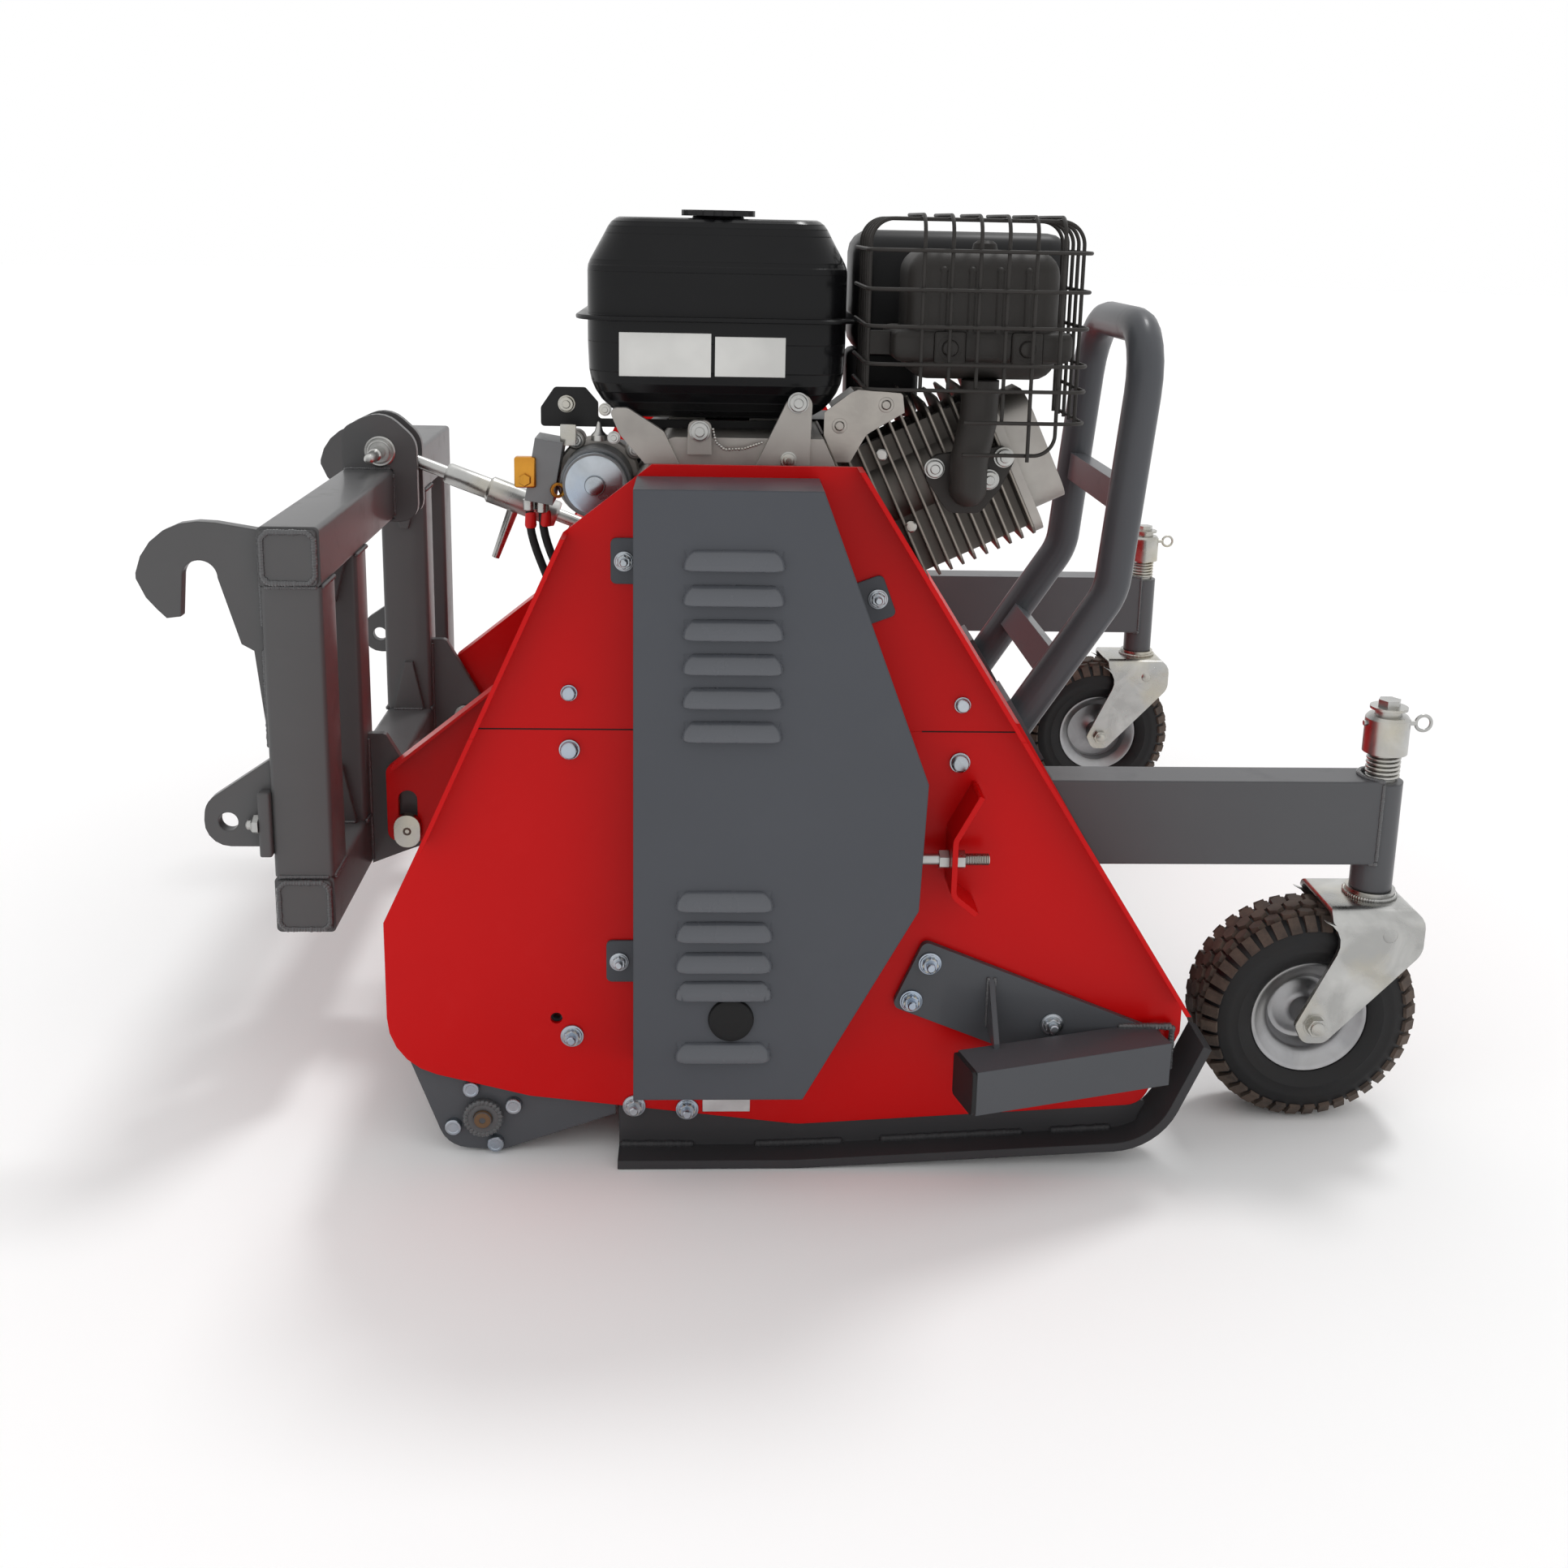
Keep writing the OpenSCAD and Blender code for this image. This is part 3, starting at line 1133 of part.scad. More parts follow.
module fuel_cap() {
    color(black) translate([cap_at.x, cap_at.y, tank_top + 2 + gap]) {
        difference() {
            cylinder(r = cap_r, h = 6);
            for (k = [0 : 11]) rotate(30 * k) translate([cap_r + 3, 0, -1]) cylinder(r = 6, h = 8);
        }
        translate([0, 0, -12]) cylinder(r = 23, h = 13);
    }
}
module tank_brackets() {
    y1 = -pto_y - 0.2;
    color(alloy) {
        along_y(y1 - 8, y1)
            polygon(rounded([[108, 776, 0], [164, 776, 0], [166, 846, 11], [151, 854, 9], [139, 842, 10]]));
        along_y(y1 - 8, y1)
            polygon(rounded([[-46, 834, 6], [-26, 834, 10], [12, 810, 12], [28, 776, 0], [-8, 776, 0],
                [-34, 806, 10]]));
        along_y(y1 - 8, y1) polygon(rounded([[36, 786, 0], [62, 786, 0], [61, 822, 8], [37, 822, 8]]));
        for (x = [14, 104])
            box_at([x, -pto_y + 100, case_top + seat], [x + 40, -pto_y + 140, tank_low - seat]);
        heat_shield();
    }
    color(zinc) for (p = [[151, 842], [49, 811]]) rod_y(8, p, y1 - 14, y1 - 8 - seat);
}

// A bent sheet over the top corner of the fins, its rear edge turned inward
module heat_shield() {
    face = -cyl_y - fin_w / 2 - seat;
    along_y(face - 2, face)
        polygon(rounded([[194, 776, 3], [209, 776, 3], [226, 806, 20], [266, 830, 6],
            [263, 850, 8], [214, 853, 14],
            [181, 828, 8], [181, 805, 3]]));
    along_y(face, face + 60) polygon(strip(rounded([[190, 832, 0], [213, 849, 12], [260, 847, 0]]), 1.6));
}
module air_cleaner() {
    y0 = -pto_y + 165;
    color(black) {
        along_y(y0, y0 + 130)
            polygon(rounded([[220, 876, 18], [468, 876, 18], [468, 1018, 34], [220, 1018, 34]]));
        along_y(y0 + 20, y0 + 80)
            polygon([[215, blower_top + seat], [300, blower_top + seat], [300, 877], [250, 877],
                [215, 826]]);
    }
}
muffler_lo = [262, 868];
muffler_hi = [421, 1000];
band_x = [247, 434];
module muffler() {
    y0 = -pto_y - 14;
    lo = muffler_lo;
    hi = muffler_hi;
    color(black) {
        along_y(y0, y0 + 118)
            polygon(rounded([[lo.x, lo.y, 16], [hi.x, lo.y, 16], [hi.x, hi.y, 34], [lo.x, hi.y, 34]], 7));
        along_y(y0 - 6, y0 + 122)
            polygon(rounded([[band_x[0], lo.y + 19, 12], [band_x[1], lo.y + 19, 12],
                [band_x[1], lo.y + 51, 9], [band_x[0], lo.y + 51, 9]]));
        for (x = [305, 385]) {
            rod_y(14, [x, lo.y + 34], y0 - 9, y0 - 5);
            rod_y(8, [x, lo.y + 34], y0 - 13, y0 - 5);
        }
        translate([(lo.x + hi.x) / 2 + 4, y0 + 50, hi.y - 2]) cylinder(r = 13, h = 12);
    }
}
module exhaust_pipe() {
    face = -cyl_y - fin_w / 2 - seat;
    r = 20;
    y = face - r - 1.5;
    end = [334, 753];
    bolts = [[299, 772], [358, 761], [373, 785]];
    color(black) {
        sweep(bends([[342, y, muffler_lo.y - seat], [342, y, 826], [end.x, y, 784], [end.x, y, end.y]], 40),
            r, 0, 20);
        translate([end.x, y, end.y]) sphere(r);
        along_y(face - 10, face)
            polygon(rounded([[289, 762, 9], [316, 724, 14], [350, 724, 14], [370, 750, 10], [386, 784, 10],
                [374, 797, 10], [298, 786, 12]]));
    }
    color(zinc) for (p = bolts) rod_y(8, p, face - 17, face - 10 - seat);
}

cage_x = [218, 446];
cage_z = [860, 1035];
module muffler_cage() {
    w = wire_d / 2;
    next = wire_d + seat;
    y0 = -pto_y - 38;
    y1 = -pto_y + 114;
    low = 827.5;
    lowest = 789;
    clip_z = [muffler_lo.y + 24, muffler_lo.y + 48];
    color(black) {
        for (z = [cage_z[0], 886, 924, 961, 1000])
            bent_wire([[cage_x[0], y1, z], [cage_x[0], y0, z],
                [cage_x[1], y0, z], [cage_x[1], y1, z]], w, 18);
        bent_wire([[320, y0, low], [cage_x[1], y0, low], [cage_x[1], y1, low]], w, 18);
        for (k = [0 : 4])
            bent_wire([[274 + 28.6 * k, y0 + next, [cage_z[0], cage_z[0], cage_z[0], low, lowest][k] - w],
                [274 + 28.6 * k, y0 + next, cage_z[1]], [274 + 28.6 * k, y1, cage_z[1]]], w, 22);
        bent_wire([[321, y0 + 2 * next, lowest + next], [417, y0 + 2 * next, lowest + next],
            [417, y0 + 2 * next, cage_z[1]], [417, y1, cage_z[1]]], w, 22);
        for (k = [0 : 4]) let (y = y0 + 34 + k * 27, top = cage_z[1] - next)
            bent_wire([[cage_x[0] + next, y, cage_z[0] - w], [cage_x[0] + next, y, top],
                [cage_x[1] - next, y, top], [cage_x[1] - next, y, low - w]], w, 24);
        for (x = [[cage_x[0] + next + w + seat, band_x[0] - seat],
            [band_x[1] + seat, cage_x[1] - next - w - seat]])
            box_at([x[0], y0 + 50, clip_z[0]], [x[1], y0 + 66, clip_z[1]]);
    }
}
starter_at = [-62, 748];
starter_r = 38;
module starter_motor() {
    y0 = -pto_y + 20;
    color(slate) {
        rod_y(starter_r, starter_at, y0 + 12, y0 + 120);
        along_y(y0 + 60, y0 + 110) translate(starter_at)
            polygon([[0, -starter_r - 6], [starter_r, -starter_r - 6], [starter_r, 30], [0, 42]]);
    }
    color(zinc) {
        rod_y(starter_r - 4, starter_at, y0, y0 + 12 - seat);
        rod_y(10.5, starter_at, y0 - 6, y0 - seat);
    }
    color(slate) translate([-117, y0 + 10, 760]) rotate([0, 10, 0]) box_at([-15, 0, -34], [15, 50, 34]);
}
module starter_cables() {
    y = -pto_y + 44;
    color(black) for (k = [0, 1])
        sweep(bends([[-134 + 14 * k, y, 727 - 2.4 * k], [-134 + 14 * k, y, 700], [-104 + 16 * k, y, 600],
            [-104 + 16 * k, y, platform_z + seat]], 60), 4.5, 0, 8);
}
module control_panel() {
    y = -pto_y + 76;
    bolt = [-96, 828];
    color(black) difference() {
        along_y(y, y + 4) polygon(rounded([[-124, case_top + seat, 4], [150, case_top + seat, 3],
            [150, case_top + 9, 3], [-62, case_top + 9, 4], [-62, 830, 4], [-76, 846, 4],
            [-109, 846, 5], [-124, 824, 5]]));
        hole_y(bolt, 4, y, y + 4);
    }
    color(zinc) rod_y(7, bolt, y - 5, y - seat);
}

place() deck_shell();
place() side_plate_right();
place() side_plate_left();
place() upper_plate_right();
place() upper_plate_left();
place() deck_lugs();
place() deck_bolts();
place() front_flap();
place() tension_strap();
place() tension_bolt();
place() belt_guard();
place() guard_plug();
place() skid_right();
place() skid_left();
place() deflector_arm();
place() arm_cap();
place() bull_bar();
place() link_bracket();
place() flange_bearings();
place() rotor();
place() rotor_pulley();
place() flails_a();
place() flails_b();
place() flails_c();
place() crank_pulley();
place() drive_belts();
place() idler_arm();
place() idler_pulley();
place() roller_brackets();
place() rear_roller();
place() caster_arms();
place() spindle_springs();
place() fork_right();
place() fork_left();
place() collar_right();
place() collar_left();
place() rim_right();
place() rim_left();
place() tyre_right();
place() tyre_left();
place() hitch_frame();
place() hitch_hooks();
place() hitch_pins();
place() link_rod();
place() link_sleeve();
place() link_pin();
place() crankcase();
place() engine_cylinder();
place() valve_cover();
place() blower_housing();
place() fuel_tank();
place() fuel_cap();
place() tank_brackets();
place() air_cleaner();
place() muffler();
place() exhaust_pipe();
place() muffler_cage();
place() starter_motor();
place() starter_cables();
place() control_panel();
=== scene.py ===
# %% [markdown]
# # A flail brush mower
# The machine hangs on the front of a compact loader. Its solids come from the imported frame, so every
# place below is read from the frame or given in millimetres from the deck's own datum. This script
# gives each surface its finish and adds what solids leave out: tread, welds, wires and small fittings.

# %% The frame
import json
import math
import random

import bmesh
import bpy
from mathutils import Matrix, Vector


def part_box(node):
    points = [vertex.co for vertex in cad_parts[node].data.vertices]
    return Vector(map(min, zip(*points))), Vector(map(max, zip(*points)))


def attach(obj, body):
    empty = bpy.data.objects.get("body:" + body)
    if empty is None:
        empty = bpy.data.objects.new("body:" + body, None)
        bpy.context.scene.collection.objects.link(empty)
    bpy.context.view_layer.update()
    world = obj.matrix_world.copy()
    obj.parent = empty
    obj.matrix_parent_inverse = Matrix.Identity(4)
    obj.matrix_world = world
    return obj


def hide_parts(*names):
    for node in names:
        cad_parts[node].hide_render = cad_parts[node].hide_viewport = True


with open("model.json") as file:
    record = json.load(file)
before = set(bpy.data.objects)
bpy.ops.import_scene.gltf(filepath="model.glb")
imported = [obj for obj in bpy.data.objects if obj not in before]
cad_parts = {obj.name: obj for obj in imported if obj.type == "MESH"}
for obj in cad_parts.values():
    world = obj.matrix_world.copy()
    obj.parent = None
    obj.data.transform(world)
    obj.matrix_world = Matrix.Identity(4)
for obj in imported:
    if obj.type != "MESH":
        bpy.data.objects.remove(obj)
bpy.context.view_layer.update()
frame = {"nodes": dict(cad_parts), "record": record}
NODES = frame["nodes"]
SLOT = {s["node"]: s["material_slot"] for s in frame["record"]["subparts"]}

# %% [markdown]
# Drawings of such a machine count from a datum on the deck, in millimetres: x forward, y to the left
# from the middle, z up. The rotor pulley and the two side plates tell where that datum lies.

# %% The datum
MM = 0.001
QUARTER = math.radians(90)
SIDES = (("right", -1), ("left", 1))
ROTOR_X = 88
pulley_lo, pulley_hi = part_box("rotor_pulley")
plates = [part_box("side_plate_right")[0].y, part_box("side_plate_left")[1].y]
DATUM = Vector(((pulley_lo.x + pulley_hi.x) / 2 - ROTOR_X * MM, sum(plates) / 2, 0))


def at(x, y, z):
    """A point in the row frame, in metres, from millimetres on the machine."""
    return DATUM + Vector((x, y, z)) * MM


print("datum:", [round(v, 4) for v in DATUM])

# %% [markdown]
# The camera stands at the machine's right side, level with the fuel tank and about as high as its
# cap, and looks down a little. Only a small shift is used, so other views stay framed.

# %% The camera
SENSOR = 36
FRAME_WIDTH, FOCAL_LENGTH = 1932, 2005  # in the same unit, so only their ratio counts
CAMERA_PLACE = (61.6, -2293.7, 1025.9)
camera = bpy.data.objects.new("camera", bpy.data.cameras.new("camera"))
bpy.context.scene.collection.objects.link(camera)
camera.data.sensor_width = SENSOR
camera.data.lens = SENSOR * FOCAL_LENGTH / FRAME_WIDTH
camera.data.shift_y = -0.12
camera.data.clip_end = 100
PITCH, YAW, ROLL = (math.radians(a) for a in (-12.973, 2.667, 1.203))
ahead = Vector((math.sin(YAW) * math.cos(PITCH), math.cos(YAW) * math.cos(PITCH), math.sin(PITCH)))
right = Vector((math.cos(YAW), -math.sin(YAW), 0))
up = right.cross(ahead)
right, up = right * math.cos(ROLL) + up * math.sin(ROLL), up * math.cos(ROLL) - right * math.sin(ROLL)
turned = Matrix((right, up, -ahead)).transposed().to_4x4()
camera.matrix_world = Matrix.Translation(at(*CAMERA_PLACE)) @ turned
bpy.context.scene.camera = camera

# %% [markdown]
# A pale floor keeps the shadow. The world lights everything evenly, and it is pure white to the
# camera and in reflections, so polished zinc shows a white studio. One broad lamp, high up on the
# machine's left, gives the top faces their light and lets the soft shadow fall towards the camera.

# %% The studio
WORLD_LIGHT, SHOWN_LIGHT = 0.85, 1
LAMP_LIGHT, LAMP_ANGLE = 0.85, math.radians(11)
LAMP_SIDE = Vector((0.34, 0.55, 1.25))

world = bpy.data.worlds.new("studio")
bpy.context.scene.world = world
world.use_nodes = True
sky = world.node_tree
sky.nodes.clear()
join = sky.links.new


def larger(first, second):
    """A node that gives the larger one of two sockets."""
    node = sky.nodes.new("ShaderNodeMath")
    node.operation = "MAXIMUM"
    join(first, node.inputs[0])
    join(second, node.inputs[1])
    return node.outputs[0]


def white(strength):
    node = sky.nodes.new("ShaderNodeBackground")
    node.inputs["Color"].default_value = (1, 1, 1, 1)
    node.inputs["Strength"].default_value = strength
    return node.outputs[0]


ray = sky.nodes.new("ShaderNodeLightPath").outputs
mirrored = larger(ray["Is Glossy Ray"], ray["Is Transmission Ray"])
choice = sky.nodes.new("ShaderNodeMixShader")
join(larger(ray["Is Camera Ray"], mirrored), choice.inputs[0])
join(white(WORLD_LIGHT), choice.inputs[1])
join(white(SHOWN_LIGHT), choice.inputs[2])
join(choice.outputs[0], sky.nodes.new("ShaderNodeOutputWorld").inputs["Surface"])

lamp = bpy.data.objects.new("lamp", bpy.data.lights.new("lamp", "SUN"))
bpy.context.scene.collection.objects.link(lamp)
lamp.data.energy = LAMP_LIGHT
lamp.data.angle = LAMP_ANGLE
lamp.matrix_world = LAMP_SIDE.to_track_quat("Z", "Y").to_matrix().to_4x4()
bpy.context.scene.view_settings.view_transform = "Standard"

# %% [markdown]
# A finish is built from nodes. Sums and products of sockets are written as plain Python: `Value`
# wraps one socket and adds a Math node for each operator. `Finish` makes any other node.

# %% The node helpers
def feed(tree, socket, value):
    """Puts a number, a colour or a Value into a socket."""
    if isinstance(value, Value):
        tree.links.new(value.socket, socket)
    elif isinstance(value, (tuple, list)) and len(value) == 3 and socket.type == "RGBA":
        socket.default_value = (*value, 1)
    else:
        socket.default_value = value


class Value:
    def __init__(self, tree, socket):
        self.tree, self.socket = tree, socket

    def math(self, operation, other, swap=False):
        node = self.tree.nodes.new("ShaderNodeMath")
        node.operation = operation
        for socket, value in zip(node.inputs, (other, self) if swap else (self, other)):
            feed(self.tree, socket, value)
        return Value(self.tree, node.outputs[0])

    def __add__(self, other):
        return self.math("ADD", other)

    __radd__ = __add__

    def __mul__(self, other):
        return self.math("MULTIPLY", other)

    __rmul__ = __mul__

    def __sub__(self, other):
        return self.math("SUBTRACT", other)

    def __rsub__(self, other):
        return self.math("SUBTRACT", other, swap=True)


class Finish:
    """A Principled material whose varying parts are nodes on Object coordinates."""

    def __init__(self, name, colour, roughness, metallic=0.0, **fixed):
        self.material = bpy.data.materials.new(name)
        self.material.use_nodes = True
        self.tree = self.material.node_tree
        self.tree.nodes.clear()
        self.shader = self.tree.nodes.new("ShaderNodeBsdfPrincipled")
        output = self.tree.nodes.new("ShaderNodeOutputMaterial")
        self.tree.links.new(self.shader.outputs[0], output.inputs["Surface"])
        self.place = self.node("TexCoord", out="Object")
        self.put("Base Color", colour)
        self.put("Roughness", roughness)
        self.put("Metallic", metallic)
        for name, value in fixed.items():
            self.put(name.replace("_", " "), value)

    def put(self, socket, value):
        feed(self.tree, self.shader.inputs[socket], value)

    def node(self, kind, inputs=None, out=0, **settings):
        made = self.tree.nodes.new("ShaderNode" + kind)
        for name, value in settings.items():
            setattr(made, name, value)
        for name, value in (inputs or {}).items():
            feed(self.tree, made.inputs[name], value)
        return Value(self.tree, made.outputs[out])

    def noise(self, scale, detail, roughness=0.55, distortion=0.0):
        return self.node("TexNoise", {"Vector": self.place, "Scale": scale, "Detail": detail,
                                      "Roughness": roughness, "Distortion": distortion})

    def spread(self, value, low, high):
        """Spreads the part of value between low and high over 0 to 1."""
        return self.node("MapRange", {"Value": value, "From Min": low, "From Max": high})

    def mix(self, factor, first, second):
        return self.node("Mix", {0: factor, 6: first, 7: second}, out=2, data_type="RGBA")

    def edges(self, radius):
        """The normal of edges that look rounded by the given radius in millimetres."""
        return self.node("Bevel", {"Radius": radius * MM}, samples=4)

    def relief(self, height, depth, normal):
        """Raises a surface of this normal by height times depth in millimetres."""
        return self.node("Bump", {"Height": height, "Distance": depth * MM, "Strength": 1, "Normal": normal})


# %% [markdown]
# Powder coat is a thick gloss paint baked on steel. It has a fine orange peel, rounds over every
# edge, and gets dull patches where hands and straps rub. Red covers the deck, slate grey the guard
# and the bars, and a plainer grey the hitch. The skids get a darker copy of the slate as painted
# shade, and the louvre hoods a lighter one as painted highlight. Weld beads catch the light.

# %% Powder coats
PEEL = 0.05


def powder_coat(name, colour, roughness, coat, radius=1.4):
    """Paint over edges rounded by radius, with a clear coat of the given weight."""
    paint = Finish(name, colour, roughness, Coat_Roughness=0.12, Specular_IOR_Level=0.14)
    cloud = paint.noise(5, detail=4)
    rub = paint.spread(paint.noise(17, detail=6, roughness=0.65), 0.55, 0.75)
    dark = tuple(0.86 * c for c in colour)
    dusty = tuple(0.96 * c + 0.006 for c in colour)
    paint.put("Base Color", paint.mix(rub * 0.35, paint.mix(cloud, dark, colour), dusty))
    paint.put("Roughness", roughness + 0.10 * cloud + 0.12 * rub)
    paint.put("Coat Weight", coat)
    grain = paint.noise(520, detail=2)
    paint.put("Normal", paint.relief(grain, PEEL, paint.edges(radius)))
    return paint


RED = powder_coat("red_powder_coat", (0.60, 0.0022, 0.0030), 0.28, coat=0.03)
SLATE = powder_coat("slate_powder_coat", (0.088, 0.092, 0.101), 0.30, coat=0.1)
GUARD = powder_coat("pressed_guard_coat", (0.079, 0.084, 0.096), 0.30, coat=0.1, radius=3)
# The louvre hoods are pressed from the guard's own sheet; this lighter copy of its grey is a painted
# highlight.
HOOD_HIGHLIGHT_COAT = powder_coat("hood_coat_painted_highlight", (0.100, 0.106, 0.120), 0.22, coat=0.6, radius=1.6)
ARM = powder_coat("square_tube_coat", (0.096, 0.098, 0.104), 0.28, coat=0.15, radius=4)
HITCH = powder_coat("hitch_powder_coat", (0.104, 0.104, 0.106), 0.32, coat=0.15, radius=3.4)
# The skids are slate like the bars; this darker copy is painted shade for their place low under the deck.
SHADED_SKID = powder_coat("skid_coat_painted_shade", (0.050, 0.049, 0.052), 0.34, coat=0.1, radius=2.4)
BEAD = powder_coat("weld_bead_coat", (0.094, 0.095, 0.099), 0.18, coat=0.8, radius=0.3)
COATS = (RED, SLATE, GUARD, HOOD_HIGHLIGHT_COAT, ARM, HITCH, SHADED_SKID, BEAD)
print("powder coats:", [coat.material.name for coat in COATS])

# %% [markdown]
# Zinc plate on steel is bright but never even: it has clouds, and straw-coloured and bluish tints
# where the passivation is thicker. Cast alloy is grainy, and fins and brackets are left as cast.

# %% Bare metals
def plated(name, colour, tint, roughness):
    """Bright plate with duller clouds and stains of another tint."""
    metal = Finish(name, colour, roughness, metallic=1.0)
    cloud = metal.spread(metal.noise(22, detail=4, distortion=0.6), 0.35, 0.7)
    stain = metal.spread(metal.noise(9, detail=5), 0.5, 0.8)
    dull = tuple(0.70 * c for c in colour)
    metal.put("Base Color", metal.mix(stain, metal.mix(cloud, dull, colour), tint))
    metal.put("Roughness", roughness + 0.16 * cloud - 0.05 * stain)
    metal.put("Normal", metal.relief(metal.noise(240, detail=3), 0.03, metal.edges(0.7)))
    return metal


def cast(name, colour, roughness, grain, depth, metallic=0.9):
    """Cast or rusted metal whose grain has a scale and a depth in millimetres."""
    metal = Finish(name, colour, roughness, metallic=metallic)
    cloud = metal.noise(30, detail=5, roughness=0.6)
    soot = metal.spread(metal.noise(12, detail=4), 0.5, 0.8)
    metal.put("Base Color", metal.mix(soot * 0.5, colour, tuple(0.45 * c for c in colour)))
    metal.put("Roughness", roughness + 0.2 * cloud)
    rough = metal.noise(grain, detail=4, roughness=0.7)
    metal.put("Normal", metal.relief(rough, depth, metal.edges(1.2)))
    return metal


ZINC = plated("zinc_plate", (0.53, 0.53, 0.515), (0.50, 0.455, 0.34), 0.24)
BLUE_ZINC = plated("blue_zinc", (0.50, 0.54, 0.58), (0.34, 0.43, 0.56), 0.24)
STEEL = plated("bright_steel", (0.52, 0.51, 0.49), (0.42, 0.38, 0.31), 0.22)
DARK_STEEL = plated("forged_steel", (0.20, 0.19, 0.18), (0.16, 0.09, 0.05), 0.5)
RUST = cast("rusty_steel", (0.17, 0.10, 0.055), 0.6, 700, 0.12, metallic=0.5)
ALLOY = cast("cast_alloy", (0.40, 0.38, 0.355), 0.42, 900, 0.10)
FIN_ALLOY = cast("fin_alloy", (0.17, 0.155, 0.14), 0.42, 600, 0.08)
IRON = cast("cast_iron", (0.11, 0.11, 0.115), 0.55, 500, 0.15)
BRASS = plated("brass", (0.72, 0.34, 0.05), (0.52, 0.20, 0.03), 0.25)
RIM = plated("rim_silver", (0.43, 0.43, 0.44), (0.36, 0.355, 0.34), 0.32)
SATIN = plated("satin_sheet", (0.46, 0.43, 0.395), (0.36, 0.32, 0.26), 0.30)
FIN_EDGE = plated("fin_edge", (0.36, 0.33, 0.29), (0.22, 0.19, 0.16), 0.36)
LABEL = plated("silver_film", (0.72, 0.72, 0.72), (0.66, 0.66, 0.67), 0.42)

# %% [markdown]
# The engine's blacks differ: the tank is glossy enamel, the exhaust has a flat heat-resistant
# paint, plastics have a fine grain, and rubber is the dullest. A tyre's tread is brown with dust.

# %% Blacks
def enamel(name, colour, roughness, peel, radius=1.5, gloss=0.25):
    """A plain coloured surface with a faint haze; peel is its grain's depth in millimetres."""
    black = Finish(name, colour, roughness, Specular_IOR_Level=gloss)
    haze = black.spread(black.noise(8, detail=4), 0.4, 0.75)
    black.put("Base Color", black.mix(haze, colour, tuple(1.3 * c + 0.001 for c in colour)))
    black.put("Roughness", roughness + 0.12 * haze)
    black.put("Normal", black.relief(black.noise(600, detail=2), peel, black.edges(radius)))
    return black


TANK = enamel("tank_enamel", (0.0045, 0.0046, 0.0052), 0.20, 0.02, gloss=0.2)
HEAT = enamel("heat_paint", (0.026, 0.0235, 0.0215), 0.46, 0.10)
WIRE = enamel("wire_coating", (0.010, 0.010, 0.0105), 0.34, 0.03, radius=0.5)
PLASTIC = enamel("moulded_plastic", (0.011, 0.011, 0.0118), 0.42, 0.06)
MOTOR = enamel("motor_paint", (0.17, 0.175, 0.18), 0.38, 0.05)
RUBBER = enamel("rubber", (0.009, 0.009, 0.0095), 0.62, 0.10)
RED_CAP = enamel("red_cap", (0.50, 0.006, 0.006), 0.42, 0.04, radius=0.8)
PALE = enamel("blank_label", (0.62, 0.62, 0.60), 0.45, 0.02, radius=0.3)


def tyre_finish(name, clean, dusty, roughness, share):
    """Rubber whose dust gathers in clouds; share is how much of the dust colour shows."""
    rubber = Finish(name, clean, roughness, Specular_IOR_Level=0.3)
    dust = rubber.spread(rubber.noise(26, detail=6, roughness=0.7), 0.36, 0.7)
    rubber.put("Base Color", rubber.mix(dust * share, clean, dusty))
    rubber.put("Roughness", roughness + 0.2 * dust)
    rubber.put("Normal", rubber.relief(rubber.noise(380, detail=4), 0.12, rubber.edges(0.8)))
    return rubber


TYRE = tyre_finish("tyre_rubber", (0.006, 0.006, 0.007), (0.026, 0.022, 0.019), 0.42, 0.3)
TREAD = tyre_finish("dusty_tread", (0.046, 0.034, 0.028), (0.135, 0.098, 0.076), 0.62, 0.9)

# %% [markdown]
# Every carried-over solid gets the finish of its slot. Its triangles are welded by a modifier and
# split again at sharp edges, so tubes shade smooth and plates stay crisp.

# %% Finishes for the solids
FINISH_OF_SLOT = {
    "red_paint": RED, "slate_paint": SLATE, "hitch_paint": HITCH, "zinc_plate": ZINC,
    "black_rubber": RUBBER, "tyre_rubber": TYRE, "black_plastic": PLASTIC, "cast_iron": IRON,
    "rotor_steel": HEAT, "flail_steel": DARK_STEEL, "cast_alloy": ALLOY, "fin_alloy": FIN_ALLOY,
    "tank_black": TANK, "heat_black": HEAT, "motor_grey": MOTOR, "panel_black": WIRE,
}
SHARP = math.radians(32)


def dress(node, finish):
    thing = NODES[node]
    thing.data.materials.clear()
    thing.data.materials.append(finish.material)
    thing.modifiers.clear()
    thing.data.polygons.foreach_set("use_smooth", [True] * len(thing.data.polygons))
    weld = thing.modifiers.new("weld", "WELD")
    weld.merge_threshold = 0.02 * MM
    split = thing.modifiers.new("split", "EDGE_SPLIT")
    split.split_angle = SHARP
    split.use_edge_sharp = False


for node in NODES:
    dress(node, FINISH_OF_SLOT[SLOT[node]])
dress("caster_arms", ARM)
dress("belt_guard", GUARD)
# The skids take the darker slate copy, which is painted shade.
for side, _ in SIDES:
    dress("skid_" + side, SHADED_SKID)
print("dressed", len(NODES), "nodes")

# %% [markdown]
# New pieces are modelled with bmesh operators. `made` turns a finished bmesh into an object that
# rides on its body, and the helpers before it cover the shapes that come up again and again.

